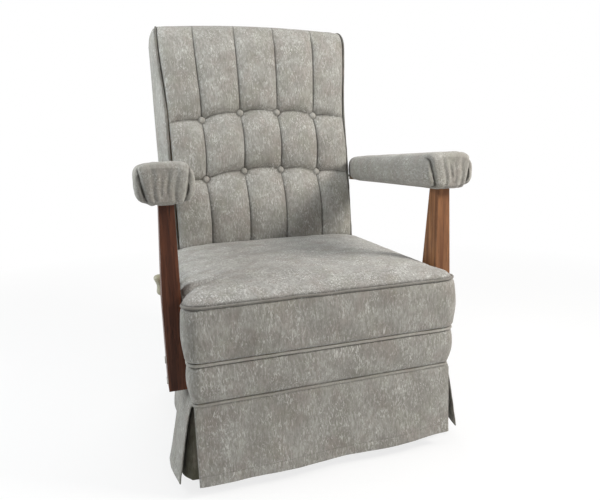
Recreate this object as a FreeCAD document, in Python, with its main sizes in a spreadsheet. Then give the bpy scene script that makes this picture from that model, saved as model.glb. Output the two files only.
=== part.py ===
import FreeCAD, Part
import Sketcher
import math
import os
import re
from types import SimpleNamespace

# Swivel rocker with wood arm posts, boxed seat, pleated skirt and a channelled, buttoned back.
# Millimetres and degrees. +Z is up, the chair faces -Y, the sitter's right hand is on -X.
# The origin is on the floor, in the middle of the chair's overall plan.

Vector = FreeCAD.Vector
Rotation = FreeCAD.Rotation
Placement = FreeCAD.Placement

# Driving dimensions. Every cell of the sheet holds one of these plain numbers.
SIZES = {
    # places of the seat and of the turning axis
    "front_y": -334.0,
    "axis_y": -4.0,
    "seat_width": 576.0,
    "seat_depth": 488.0,
    "back_room": 100.0,
    "corner_radius": 34.0,
    "rear_radius": 16.0,
    # heights of the covers' seams
    "skirt_bottom": 25.0,
    "skirt_top": 196.0,
    "band_top": 281.0,
    "seat_edge": 396.0,
    "crown": 28.0,
    "welt_radius": 4.0,
    "cover_gap": 0.3,
    # base ring, cross and glides
    "glide_radius": 14.0,
    "glide_height": 8.0,
    "glide_count": 6,
    "ring_radius": 200.0,
    "tube_radius": 12.5,
    "bar_width": 30.0,
    "bar_height": 20.0,
    # swivel bearing
    "race_radius": 80.0,
    "plate_radius": 100.0,
    "race_thick": 6.0,
    "ball_radius": 5.0,
    "ball_count": 24,
    "groove_depth": 2.5,
    "ball_gap": 0.05,
    "cage_thick": 1.6,
    "cage_width": 14.0,
    "king_radius": 8.0,
    "running_gap": 0.05,
    "bush_wall": 4.0,
    "flange_thick": 2.0,
    "flange_width": 6.0,
    "washer_thick": 2.5,
    "nut_height": 10.0,
    "nut_radius": 13.8,
    "plate_bolt_radius": 4.0,
    "plate_bolt_circle": 45.0,
    # carriage that turns on the bearing
    "carriage_length": 320.0,
    "carriage_width": 320.0,
    "carriage_thick": 4.0,
    "bracket_x": 104.0,
    "bracket_thick": 5.0,
    "bracket_length": 200.0,
    "bracket_flange": 24.0,
    "bracket_top": 158.0,
    "axle_z": 137.0,
    "axle_radius": 8.0,
    "axle_nut_height": 8.0,
    "rock_back": 10.0,
    "rock_forward": 7.0,
    "bumper_radius": 9.0,
    "bumper_y": 80.0,
    # rock springs
    "spring_x": 60.0,
    "spring_y": 125.0,
    "spring_radius": 21.0,
    "wire_radius": 3.0,
    "spring_turns": 6,
    "cup_height": 8.0,
    "cup_thick": 2.0,
    # plates that hang from the seat frame and rock on the axle
    "rocker_thick": 5.0,
    "rocker_length": 350.0,
    "rocker_flange": 36.0,
    "boss_radius": 20.0,
    # hardwood seat frame
    "rail_bottom": 188.0,
    "rail_top": 290.0,
    "rail_thick": 22.0,
    "pad_thick": 12.0,
    "cross_rail_width": 64.0,
    "cross_rail_height": 26.0,
    "cross_rail_y": 140.0,
    "block_size": 45.0,
    "mount_bolt_radius": 4.0,
    # seat springs and deck
    "sinuous_count": 5,
    "sinuous_radius": 1.8,
    "sinuous_pitch": 22.0,
    "sinuous_span": 46.0,
    "sinuous_spacing": 84.0,
    "clip_thick": 1.5,
    "deck_thick": 3.0,
    # back
    "back_tilt": 7.2,
    "back_height": 622.0,
    "back_side": 7.0,
    "back_spread": 24.0,
    "side_round": 8.0,
    "side_crown": 3.0,
    "side_tail": 30.0,
    "back_thick": 110.0,
    "stile_thick": 24.0,
    "stile_front": 22.0,
    "stile_depth": 56.0,
    "stile_bottom": 216.0,
    "back_rail_height": 60.0,
    "board_front": 44.0,
    "board_thick": 4.0,
    "outside_thick": 4.0,
    "back_lid": 14.0,
    "back_roll": 26.0,
    "seam_outer": 163.0,
    "seam_inner": 54.0,
    "row_low": 219.0,
    "row_high": 382.0,
    "channel_crown": 12.0,
    "tuft_depth": 17.0,
    "button_radius": 10.0,
    "button_height": 5.0,
    # arms
    "post_front": 70.0,
    "post_gap": 1.5,
    "post_bottom": 204.0,
    "post_knee": 392.0,
    "post_top": 593.0,
    "post_width_low": 37.0,
    "post_width_top": 29.0,
    "post_depth_low": 62.0,
    "post_depth_top": 34.0,
    "arm_slope": 1.6,
    "arm_front": 46.0,
    "arm_behind": 84.0,
    "arm_inset": 33.0,
    "arm_overhang": 74.0,
    "arm_height": 73.0,
    "board_width": 44.0,
    "board_height": 20.0,
    "board_ahead": 26.0,
    "board_behind": 14.0,
    "arm_bolt_radius": 4.0,
    "bolt_sink": 7.0,
    "post_bolt_front": 18.0,
    "post_bolt_rear": 38.0,
    "post_bolt_low": 26.0,
    "post_bolt_high": 22.0,
    "arm_screw_radius": 3.0,
    "arm_screw_length": 50.0,
    # rock lock lever, on the sitter's right
    "lock_y": -90.0,
    "lock_z": 215.0,
    "lock_shaft_radius": 6.0,
    "lock_swing": 35.0,
    "sector_radius": 100.0,
    "sector_x": -150.0,
    "sector_thick": 6.0,
    "lever_rise": 200.0,
    "lever_lean": 20.0,
    "lever_thick": 5.0,
    "paddle_height": 44.0,
    "paddle_out": 40.0,
    # skirt
    "skirt_thick": 5.0,
    "skirt_flare": 34.0,
    "skirt_wave": 5.0,
    "pleat_width": 70.0,
}

doc = FreeCAD.newDocument("SwivelRocker")
sheet = doc.addObject("Spreadsheet::Sheet", "Sizes")
for row, (name, number) in enumerate(SIZES.items(), start=1):
    sheet.set("A%d" % row, name)
    sheet.set("B%d" % row, str(number))
    sheet.setAlias("B%d" % row, name)
doc.recompute()
size = SimpleNamespace(**{name: float(sheet.get(name)) for name in SIZES})

nodes = []


# Formulas and simple pieces

def formula(text):
    # each size in a formula is a cell of the sheet
    def cell(word):
        return "Sizes." + word.group() if word.group() in SIZES else word.group()
    return re.sub(r"[a-z][a-z_0-9]*", cell, text)


def bind(piece, **formulas):
    for prop, text in formulas.items():
        piece.setExpression(prop.replace("__", "."), formula(text))


def place(piece, x="0", y="0", z="0", along=None):
    if along == "x":
        piece.Placement = Placement(Vector(), Rotation(Vector(0, 1, 0), 90))
    if along == "y":
        piece.Placement = Placement(Vector(), Rotation(Vector(1, 0, 0), -90))
    bind(piece, Placement__Base__x=x, Placement__Base__y=y, Placement__Base__z=z)
    return piece


def node(piece, label):
    piece.Label = label
    nodes.append(piece)
    return piece


def box(x, y, z):
    # x, y and z are pairs of formulas: the low and the high side
    piece = doc.addObject("Part::Box", "Block")
    bind(piece, Length="(%s) - (%s)" % (x[1], x[0]), Width="(%s) - (%s)" % (y[1], y[0]),
         Height="(%s) - (%s)" % (z[1], z[0]))
    return place(piece, x[0], y[0], z[0])


def rod(radius, length, x="0", y="0", z="0", along=None):
    piece = doc.addObject("Part::Cylinder", "Rod")
    bind(piece, Radius=radius, Height=length)
    return place(piece, x, y, z, along)


def hexagon(radius, length, x="0", y="0", z="0", along=None):
    piece = doc.addObject("Part::Prism", "Hexagon")
    piece.Polygon = 6
    bind(piece, Circumradius=radius, Height=length)
    return place(piece, x, y, z, along)


def cut(base, *tools):
    piece = base
    for tool in tools:
        rest = doc.addObject("Part::Cut", "Cut")
        rest.Base = piece
        rest.Tool = tool
        piece = rest
    return piece


def fuse(*pieces):
    joined = doc.addObject("Part::MultiFuse", "Joined")
    joined.Shapes = list(pieces)
    return joined


def common(base, tool):
    shared = doc.addObject("Part::Common", "Shared")
    shared.Base = base
    shared.Tool = tool
    return shared


def group(pieces):
    # separate solids that share one node
    together = doc.addObject("Part::Compound", "Group")
    together.Links = list(pieces)
    return together


def tube(inner, outer, length, x="0", y="0", z="0", along=None):
    return cut(rod(outer, length, x, y, z, along), rod(inner, length, x, y, z, along))


def feature(label, shape, placement=None):
    piece = doc.addObject("Part::Feature", "Soft")
    piece.Shape = shape
    if placement:
        piece.Placement = placement
    return node(piece, label)


def both_sides(shape):
    # a left piece and its mirror image on the right
    return [shape, shape.mirror(Vector(), Vector(1, 0, 0))]


# Sketched pieces

PLANES = {"top": "XY_Plane", "front": "XZ_Plane", "side": "YZ_Plane"}


def new_body():
    return doc.addObject("PartDesign::Body", "Body")


def sketch(body, plane):
    drawing = body.newObject("Sketcher::SketchObject", "Sketch")
    for feature_plane in body.Origin.OriginFeatures:
        if feature_plane.Role == PLANES[plane]:
            drawing.AttachmentSupport = [(feature_plane, "")]
    drawing.MapMode = "FlatFace"
    return drawing


def fix_point(drawing, edge, end, across, up):
    for kind, text in (("DistanceX", across), ("DistanceY", up)):
        index = drawing.addConstraint(Sketcher.Constraint(kind, -1, 1, edge, end, 1.0))
        drawing.setExpression("Constraints[%d]" % index, formula(text))


def outline(drawing, points):
    # closed polygon; each corner is a pair of formulas in the sketch's own axes
    count = len(points)
    first = drawing.GeometryCount
    for i in range(count):
        start = Vector(math.cos(i), math.sin(i), 0) * size.ring_radius
        end = Vector(math.cos(i + 1), math.sin(i + 1), 0) * size.ring_radius
        drawing.addGeometry(Part.LineSegment(start, end), False)
    for i in range(count):
        drawing.addConstraint(Sketcher.Constraint("Coincident", first + i, 2, first + (i + 1) % count, 1))
    for i, (across, up) in enumerate(points):
        fix_point(drawing, first + i, 1, across, up)


def circle(drawing, radius, across, up):
    edge = drawing.addGeometry(Part.Circle(Vector(), Vector(0, 0, 1), 5.0), False)
    index = drawing.addConstraint(Sketcher.Constraint("Radius", edge, 5.0))
    drawing.setExpression("Constraints[%d]" % index, formula(radius))
    fix_point(drawing, edge, 3, across, up)


def pad(body, drawing, length, offset="0", reversed_way=False):
    # the sketch is lifted by the offset along its plane's normal, then given its thickness
    drawing.setExpression("AttachmentOffset.Base.z", formula(offset))
    block = body.newObject("PartDesign::Pad", "Pad")
    block.Profile = drawing
    block.Reversed = reversed_way
    block.setExpression("Length", formula(length))
    return block


def pocket(body, drawing, length, offset="0", reversed_way=False):
    drawing.setExpression("AttachmentOffset.Base.z", formula(offset))
    hollow = body.newObject("PartDesign::Pocket", "Pocket")
    hollow.Profile = drawing
    hollow.Reversed = reversed_way
    hollow.setExpression("Length", formula(length))
    return hollow


# Base: tube ring on glides, a welded cross and the fixed half of the bearing

def spread(count, radius, make, first_angle=45.0):
    # copies of a small piece on a circle round the turning axis, clear of the cross's four ends
    copies = []
    for i in range(int(count)):
        angle = 360.0 / count * i + first_angle
        piece = make("%s * cos(%.6f)" % (radius, angle), "axis_y + %s * sin(%.6f)" % (radius, angle))
        copies.append(piece)
    return copies


RING_Z = "(glide_height + tube_radius)"
CROSS_TOP = "(glide_height + tube_radius + bar_height / 2)"
LOWER_RACE_TOP = "(%s + race_thick)" % CROSS_TOP
BALL_Z = "(%s - groove_depth + ball_radius + ball_gap)" % LOWER_RACE_TOP
UPPER_RACE = "(%s + ball_radius + ball_gap - groove_depth)" % BALL_Z
CARRIAGE_Z = "(%s + race_thick)" % UPPER_RACE
CARRIAGE_TOP = "(%s + carriage_thick)" % CARRIAGE_Z


def torus(major, minor, z):
    piece = doc.addObject("Part::Torus", "Ring")
    bind(piece, Radius1=major, Radius2=minor)
    return place(piece, "0", "axis_y", z)


def base_ring():
    ring = torus("ring_radius", "tube_radius", RING_Z)
    glides = spread(size.glide_count, "ring_radius",
                    lambda x, y: rod("glide_radius", "glide_height", x, y, "0"), 15.0)
    # each glide's saddle follows the tube that it is clipped under
    saddles = spread(size.glide_count, "ring_radius",
                     lambda x, y: rod("glide_radius * 0.7", "glide_height + tube_radius * 0.5", x, y, "0"), 15.0)
    shells = []
    for glide, saddle in zip(glides, saddles):
        shells.append(cut(fuse(glide, saddle), torus("ring_radius", "tube_radius", RING_Z)))
    node(group(shells), "base_glides")
    node(ring, "base_ring")


def base_cross():
    low = "%s - bar_height" % CROSS_TOP
    along_x = box(("-ring_radius", "ring_radius"), ("axis_y - bar_width / 2", "axis_y + bar_width / 2"),
                  (low, CROSS_TOP))
    along_y = box(("-bar_width / 2", "bar_width / 2"), ("axis_y - ring_radius", "axis_y + ring_radius"),
                  (low, CROSS_TOP))
    hub = rod("plate_bolt_circle + plate_bolt_radius * 3", "bar_height", "0", "axis_y", low)
    king_hole = rod("king_radius", "bar_height", "0", "axis_y", low)
    holes = spread(4, "plate_bolt_circle",
                   lambda x, y: rod("plate_bolt_radius", "bar_height", x, y, low))
    cross = cut(fuse(along_x, along_y, hub), torus("ring_radius", "tube_radius", RING_Z), king_hole, *holes)
    node(cross, "base_cross")


def groove(z):
    return torus("race_radius", "ball_radius + ball_gap", z)


def lower_race():
    plate = rod("plate_radius", "race_thick", "0", "axis_y", CROSS_TOP)
    king_hole = rod("king_radius", "race_thick", "0", "axis_y", CROSS_TOP)
    holes = spread(4, "plate_bolt_circle",
                   lambda x, y: rod("plate_bolt_radius", "race_thick", x, y, CROSS_TOP))
    node(cut(plate, king_hole, groove(BALL_Z), *holes), "lower_race_plate")


def race_bolts():
    # shank through plate and hub, head above the plate, nut under the hub
    bolts = []
    low = "%s - bar_height" % CROSS_TOP
    grip = "bar_height + race_thick"
    heads = spread(4, "plate_bolt_circle",
                   lambda x, y: rod("plate_bolt_radius * 1.8", "plate_bolt_radius * 0.55", x, y, LOWER_RACE_TOP))
    shanks = spread(4, "plate_bolt_circle", lambda x, y: rod("plate_bolt_radius", grip, x, y, low))
    nuts = spread(4, "plate_bolt_circle",
                  lambda x, y: hexagon("plate_bolt_radius * 1.8", "plate_bolt_radius", x, y,
                                       low + " - plate_bolt_radius"))
    for head, shank, nut in zip(heads, shanks, nuts):
        bolts.append(fuse(head, shank, nut))
    node(group(bolts), "race_plate_bolts")


def ball(x, y, z):
    sphere = doc.addObject("Part::Sphere", "Ball")
    bind(sphere, Radius="ball_radius")
    return place(sphere, x, y, z)


def bearing_balls():
    balls = spread(size.ball_count, "race_radius", lambda x, y: ball(x, y, BALL_Z))
    node(group(balls), "bearing_balls")
    cage_z = "%s - cage_thick / 2" % BALL_Z
    ring = tube("race_radius - cage_width / 2", "race_radius + cage_width / 2", "cage_thick",
                "0", "axis_y", cage_z)
    pockets = spread(size.ball_count, "race_radius",
                     lambda x, y: rod("ball_radius + cover_gap", "cage_thick", x, y, cage_z))
    node(cut(ring, group(pockets)), "ball_cage")


BUSH_TOP = "(%s + flange_thick)" % CARRIAGE_Z


def king_pin():
    head_z = "%s - bar_height - nut_height * 0.6" % CROSS_TOP
    shank_z = "%s - bar_height" % CROSS_TOP
    washer_z = "%s + running_gap" % BUSH_TOP
    nut_z = "%s + running_gap + washer_thick" % BUSH_TOP
    end = "%s + nut_height + king_radius / 2" % nut_z
    head = hexagon("nut_radius", "nut_height * 0.6", "0", "axis_y", head_z)
    shank = rod("king_radius", "%s - (%s)" % (end, shank_z), "0", "axis_y", shank_z)
    node(fuse(head, shank), "king_bolt")
    washer = tube("king_radius", "king_radius + bush_wall + flange_width", "washer_thick",
                  "0", "axis_y", washer_z)
    nut = cut(hexagon("nut_radius", "nut_height", "0", "axis_y", nut_z),
              rod("king_radius", "nut_height", "0", "axis_y", nut_z))
    node(group([washer, nut]), "king_nut_and_washer")


# Carriage: turns on the bearing and carries the rock axle

def upper_race():
    plate = rod("plate_radius", "race_thick", "0", "axis_y", UPPER_RACE)
    king_hole = rod("king_radius + running_gap + bush_wall", "race_thick", "0", "axis_y", UPPER_RACE)
    node(cut(plate, king_hole, groove(BALL_Z)), "upper_race_plate")
    bore = "king_radius + running_gap"
    sleeve = rod("%s + bush_wall" % bore, "race_thick", "0", "axis_y", UPPER_RACE)
    flange = rod("%s + bush_wall + flange_width" % bore, "flange_thick", "0", "axis_y", CARRIAGE_Z)
    hole = rod(bore, "race_thick + flange_thick", "0", "axis_y", UPPER_RACE)
    node(cut(fuse(sleeve, flange), hole), "king_bush")


def carriage_plate():
    body = new_body()
    drawing = sketch(body, "top")
    half_x, half_y = "carriage_width / 2", "carriage_length / 2"
    outline(drawing, [("-" + half_x, "axis_y - " + half_y), (half_x, "axis_y - " + half_y),
                      (half_x, "axis_y + " + half_y), ("-" + half_x, "axis_y + " + half_y)])
    circle(drawing, "king_radius + bush_wall + flange_width + 6", "0", "axis_y")
    pad(body, drawing, "carriage_thick", CARRIAGE_Z)
    node(body, "carriage_plate")


def bracket(side):
    # upright web with the axle hole, foot and shoulder flange turned outwards
    inner = "bracket_x" if side > 0 else "-(bracket_x + bracket_thick)"
    half = "bracket_length / 2"
    body = new_body()
    web = sketch(body, "side")
    outline(web, [("axis_y - " + half, CARRIAGE_TOP), ("axis_y + " + half, CARRIAGE_TOP),
                  ("axis_y + " + half, "bracket_top"), ("axis_y - " + half, "bracket_top")])
    circle(web, "axle_radius", "axis_y", "axle_z")
    pad(body, web, "bracket_thick", inner)
    low = "bracket_x" if side > 0 else "-(bracket_x + bracket_flange)"
    high = "bracket_x + bracket_flange" if side > 0 else "-bracket_x"
    for level in (CARRIAGE_TOP, "bracket_top - bracket_thick * 0.8"):
        flange = sketch(body, "top")
        outline(flange, [(low, "axis_y - " + half), (high, "axis_y - " + half),
                         (high, "axis_y + " + half), (low, "axis_y + " + half)])
        pad(body, flange, "bracket_thick * 0.8", level)
    return body


def rock_axle():
    reach = "(bracket_x + bracket_thick + axle_nut_height + 8)"
    node(rod("axle_radius", "2 * " + reach, "-" + reach, "axis_y", "axle_z", "x"), "rock_axle")
    nuts = []
    for start in ("bracket_x + bracket_thick", "-(bracket_x + bracket_thick + axle_nut_height)"):
        nuts.append(cut(hexagon("nut_radius", "axle_nut_height", start, "axis_y", "axle_z", "x"),
                        rod("axle_radius", "axle_nut_height", start, "axis_y", "axle_z", "x")))
    node(group(nuts), "rock_axle_nuts")


def stop_height(tilt, across):
    # level of the rocker plates' underside, above the bumpers, when the seat is at its stop
    turn = math.radians(tilt)
    rise = size.rail_bottom - size.rocker_thick - size.axle_z
    reach = (across + size.bumper_radius + rise * math.sin(-turn)) / math.cos(turn)
    return size.axle_z - reach * math.sin(turn) + rise * math.cos(turn)


def rock_bumpers():
    bumpers = []
    x_middle = size.bracket_x + size.bracket_flange / 2 + 2
    for side in (-1, 1):
        for way, tilt in ((1, size.rock_back), (-1, size.rock_forward)):
            top = stop_height(tilt, size.bumper_y) - size.cover_gap
            base = Vector(side * x_middle, size.axis_y + way * size.bumper_y, size.bracket_top)
            bumpers.append(Part.makeCylinder(size.bumper_radius, top - size.bracket_top, base))
    feature("rock_bumpers", Part.makeCompound(bumpers))


def each_spring(make):
    pieces = []
    for side in ("-", ""):
        for way in ("-", "+"):
            pieces.append(make(side + "spring_x", "axis_y %s spring_y" % way))
    return pieces


def cup(x, y, low, open_top):
    # shallow pressed cup that a spring's end stands in
    outer = rod("spring_radius + wire_radius * 2 + cup_thick", "cup_height", x, y, low)
    floor_z = "%s + cup_thick" % low if open_top else low
    hollow = rod("spring_radius + wire_radius * 2", "cup_height - cup_thick", x, y, floor_z)
    return cut(outer, hollow)


def lower_cups():
    node(group(each_spring(lambda x, y: cup(x, y, CARRIAGE_TOP, True))), "lower_spring_cups")


def arc_pair(start, start_way, end, end_way):
    # two arcs that leave the start and reach the end along the given directions
    span = end - start
    ways = start_way + end_way
    spare = 4 - ways.dot(ways)
    along = span.dot(ways)
    reach = (math.sqrt(along * along + spare * span.dot(span)) - along) / spare
    corner_a = start + start_way * reach
    corner_b = end - end_way * reach
    joint = (corner_a + corner_b) * 0.5
    edges = []
    for first, corner, last in ((start, corner_a, joint), (joint, corner_b, end)):
        middle = (first + last) * 0.5
        half = (last - first).Length / 2
        lean = math.acos(half / reach)
        through = middle + (corner - middle).normalize() * half * math.tan(lean / 2)
        edges.append(Part.Arc(first, through, last).toShape())
    return edges


def coil(radius, bottom, top, turns, wire):
    # one unbroken wire: a straight leg, a bend, the turns, a bend and a straight leg
    bend = wire * 2.5
    leg = wire * 2
    low = bottom + leg + bend
    rise = top - bottom - 2 * (leg + bend)
    quarters = int(turns) * 4
    slope = rise / turns / (2 * math.pi * radius)
    points = []
    ways = []
    for i in range(quarters + 1):
        angle = math.pi / 2 * i
        points.append(Vector(radius * math.cos(angle), radius * math.sin(angle), low + rise * i / quarters))
        ways.append(Vector(-math.sin(angle), math.cos(angle), slope).normalize())
    up = Vector(0, 0, 1)
    start = points[0] - Vector(0, bend, bend)
    end = points[-1] + Vector(0, bend, bend)
    edges = [Part.LineSegment(start - up * leg, start).toShape()]
    edges += arc_pair(start, up, points[0], ways[0])
    for i in range(quarters):
        edges += arc_pair(points[i], ways[i], points[i + 1], ways[i + 1])
    edges += arc_pair(points[-1], ways[-1], end, up)
    edges.append(Part.LineSegment(end, end + up * leg).toShape())
    path = Part.Wire(edges)
    section = Part.Wire(Part.makeCircle(wire, start - up * leg, up))
    pitch = rise / turns
    gap = pitch * math.cos(math.atan(slope)) - 2 * wire
    print("coil: pitch %.1f, least gap to itself %.2f mm" % (pitch, gap))
    return path.makePipeShell([section], True, False)


def stack_value():
    # level of the carriage plate's top, the same sum as the formula CARRIAGE_TOP
    cross_top = size.glide_height + size.tube_radius + size.bar_height / 2
    ball_z = cross_top + size.race_thick - size.groove_depth + size.ball_radius + size.ball_gap
    race = ball_z + size.ball_radius + size.ball_gap - size.groove_depth
    return race + size.race_thick + size.carriage_thick


def coil_springs():
    bottom = stack_value() + size.cup_thick
    top = size.rail_bottom - size.cup_thick
    springs = []
    for side in (-1, 1):
        for way in (-1, 1):
            spring = coil(size.spring_radius, bottom, top, size.spring_turns, size.wire_radius)
            spring.translate(Vector(side * size.spring_x, size.axis_y + way * size.spring_y, 0))
            springs.append(spring)
    feature("coil_springs", Part.makeCompound(springs))


def lock_sector():
    # curved brake plate round the rock axle's line, which the lever's shoe bears on
    low_x = "sector_x - sector_thick / 2"
    high_x = "sector_x + sector_thick / 2"
    disc = rod("sector_radius", "sector_thick", low_x, "axis_y", "axle_z", "x")
    field = box((low_x, high_x), ("axis_y - sector_radius", "axis_y - sector_radius * 0.45"),
                ("axle_z - sector_radius * 0.5", "axle_z + sector_radius * 0.92"))
    foot = box((low_x, high_x), ("axis_y - sector_radius * 0.85", "axis_y - sector_radius * 0.45"),
               (CARRIAGE_TOP, "axle_z - sector_radius * 0.3"))
    node(fuse(common(disc, field), foot), "lock_sector")


base_ring()
base_cross()
lower_race()
race_bolts()
bearing_balls()
king_pin()
upper_race()
carriage_plate()
node(group([bracket(-1), bracket(1)]), "pivot_brackets")
rock_axle()
rock_bumpers()
lower_cups()
coil_springs()
lock_sector()


# Rocking plates under the seat frame

def rock_bush(side):
    bore = "axle_radius + running_gap"
    start = "bracket_x - rocker_thick - flange_thick - 1" if side > 0 else "-(bracket_x - 1)"
    length = "rocker_thick + flange_thick"
    flange_start = "bracket_x - flange_thick - 1" if side > 0 else "-(bracket_x - 1)"
    sleeve = rod(bore + " + bush_wall", length, start, "axis_y", "axle_z", "x")
    flange_radius = bore + " + bush_wall + flange_width / 2"
    flange = rod(flange_radius, "flange_thick", flange_start, "axis_y", "axle_z", "x")
    hole = rod(bore, length, start, "axis_y", "axle_z", "x")
    return cut(fuse(sleeve, flange), hole)


def rocker_plate(side):
    # web hung from the frame down to the axle, with a flange turned outwards under the cross rails
    outer = "bracket_x - flange_thick - 1"
    inner = outer + " - rocker_thick"
    low, high = (inner, outer) if side > 0 else ("-(%s)" % outer, "-(%s)" % inner)
    half = "rocker_length / 2"
    body = new_body()
    web = sketch(body, "side")
    outline(web, [("axis_y - boss_radius", "axle_z - boss_radius"), ("axis_y + boss_radius", "axle_z - boss_radius"),
                  ("axis_y + " + half, "rail_bottom - rocker_thick"), ("axis_y + " + half, "rail_bottom"),
                  ("axis_y - " + half, "rail_bottom"), ("axis_y - " + half, "rail_bottom - rocker_thick")])
    circle(web, "axle_radius + running_gap + bush_wall", "axis_y", "axle_z")
    pad(body, web, "rocker_thick", low)
    flange = sketch(body, "top")
    far = "(%s + rocker_flange)" % inner
    edges = ("(%s)" % inner, far) if side > 0 else ("-" + far, "-(%s)" % inner)
    outline(flange, [(edges[0], "axis_y - " + half), (edges[1], "axis_y - " + half),
                     (edges[1], "axis_y + " + half), (edges[0], "axis_y + " + half)])
    pad(body, flange, "rocker_thick", "rail_bottom - rocker_thick")
    return body


RAIL_IN = "(seat_width / 2 - pad_thick - rail_thick)"
RAIL_OUT = "(seat_width / 2 - pad_thick)"
FLANGE_BOLT_X = "(bracket_x + bracket_flange / 2)"


def cross_rails():
    rails = []
    for way in ("-", "+"):
        middle = "axis_y %s cross_rail_y" % way
        rail = box(("-" + RAIL_IN, RAIL_IN),
                   (middle + " - cross_rail_width / 2", middle + " + cross_rail_width / 2"),
                   ("rail_bottom", "rail_bottom + cross_rail_height"))
        holes = []
        for side in ("-", ""):
            holes.append(rod("mount_bolt_radius", "cross_rail_height", side + FLANGE_BOLT_X, middle,
                             "rail_bottom"))
        rails.append(cut(rail, *holes))
    node(group(rails), "mechanism_rails")


def mechanism_bolts():
    bolts = []
    for side in ("-", ""):
        for way in ("-", "+"):
            x, y = side + FLANGE_BOLT_X, "axis_y %s cross_rail_y" % way
            under = "rail_bottom - rocker_thick"
            over = "rail_bottom + cross_rail_height"
            bolts.append(fuse(rod("mount_bolt_radius", "%s - (%s)" % (over, under), x, y, under),
                              hexagon("mount_bolt_radius * 1.8", "mount_bolt_radius * 1.4", x, y,
                                      under + " - mount_bolt_radius * 1.4"),
                              rod("mount_bolt_radius * 2.2", "mount_bolt_radius * 0.6", x, y, over)))
    node(group(bolts), "mechanism_bolts")


def drilled_plates():
    plates = []
    for side, sign in ((-1, "-"), (1, "")):
        holes = []
        for way in ("-", "+"):
            holes.append(rod("mount_bolt_radius", "rocker_thick", sign + FLANGE_BOLT_X,
                             "axis_y %s cross_rail_y" % way, "rail_bottom - rocker_thick"))
        plates.append(cut(rocker_plate(side), *holes))
    node(group(plates), "rocker_plates")


# Hardwood seat frame

def plan_wire(level, inset, front, rear, front_round, rear_round):
    # rounded plan of the seat box, all round, at one level
    half = size.seat_width / 2 - inset
    front += inset
    rear -= inset
    corners = [(-half, front, front_round), (half, front, front_round),
               (half, rear, rear_round), (-half, rear, rear_round)]
    edges = []
    last = None
    first = None
    for i, (x, y, bend) in enumerate(corners):
        before = corners[i - 1]
        after = corners[(i + 1) % 4]
        back_way = Vector(before[0] - x, before[1] - y, 0).normalize()
        next_way = Vector(after[0] - x, after[1] - y, 0).normalize()
        corner = Vector(x, y, level)
        enter = corner + back_way * bend
        leave = corner + next_way * bend
        through = corner + (back_way + next_way) * bend * (1 - math.sqrt(0.5))
        if last:
            edges.append(Part.LineSegment(last, enter).toShape())
        else:
            first = enter
        edges.append(Part.Arc(enter, through, leave).toShape())
        last = leave
    edges.append(Part.LineSegment(last, first).toShape())
    return Part.Wire(edges)


front_y = size.front_y
box_depth = size.seat_depth + size.back_room
rear_y = front_y + box_depth
half_width = size.seat_width / 2
welt = size.welt_radius
notch = 2 * welt + size.cover_gap
pad_in = size.pad_thick - size.cover_gap

BOX_REAR = "(front_y + seat_depth + back_room)"
LEVER_Y = "(axis_y + lock_y)"


def rounded_plan():
    # room inside the covers' seams: the rails' corners are rounded off to it
    depth = size.rail_top - size.rail_bottom
    plan = plan_wire(size.rail_bottom, notch, front_y, rear_y, size.corner_radius - notch,
                     size.rear_radius - notch * 0.6)
    room = doc.addObject("Part::Feature", "Plan")
    room.Shape = Part.Face(plan).extrude(Vector(0, 0, depth))
    return room


def seat_frame():
    front = "front_y + pad_thick"
    rear = BOX_REAR + " - pad_thick"
    levels = ("rail_bottom", "rail_top")
    node(box(("-" + RAIL_IN, RAIL_IN), (front, front + " + rail_thick"), levels), "seat_front_rail")
    node(box(("-" + RAIL_IN, RAIL_IN), (rear + " - rail_thick", rear), levels), "seat_rear_rail")
    left = box(("-" + RAIL_OUT, "-" + RAIL_IN), (front, rear), levels)
    right = box((RAIL_IN, RAIL_OUT), (front, rear), levels)
    pipe_hole = rod("lock_shaft_radius + running_gap + bush_wall", "rail_thick", "-" + RAIL_OUT, LEVER_Y,
                    "lock_z", "x")
    left = cut(left, pipe_hole, *post_bolt_holes("-"))
    right = cut(right, *post_bolt_holes(""))
    node(group([common(left, rounded_plan()), common(right, rounded_plan())]), "seat_side_rails")
    blocks = []
    for sign in ("-", ""):
        x = ("-" + RAIL_IN, "-%s + block_size" % RAIL_IN) if sign else (RAIL_IN + " - block_size", RAIL_IN)
        blocks.append(corner_block(x, front + " + rail_thick", sign))
    node(group(blocks), "corner_blocks")


def corner_block(x, front, sign):
    # three-sided block glued and screwed into the front corner
    body = new_body()
    drawing = sketch(body, "top")
    deep = "%s + block_size" % front
    if sign:
        corners = [(x[0], front), (x[1], front), (x[0], deep)]
    else:
        corners = [(x[1], front), (x[1], deep), (x[0], front)]
    outline(drawing, corners)
    pad(body, drawing, "block_size * 0.6", "rail_bottom + cross_rail_height * 1.2")
    return body


POST_BOLTS = (("post_front + post_bolt_front", "skirt_top + post_bolt_low"),
              ("post_front + post_bolt_rear", "band_top - post_bolt_high"))
POST_IN = "(seat_width / 2 + post_gap)"


def post_bolt_holes(sign):
    start = "-" + POST_IN if sign else RAIL_IN
    holes = []
    for y, z in POST_BOLTS:
        holes.append(rod("arm_bolt_radius", "%s - %s" % (POST_IN, RAIL_IN), start, "front_y + " + y, z, "x"))
    return holes


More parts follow.
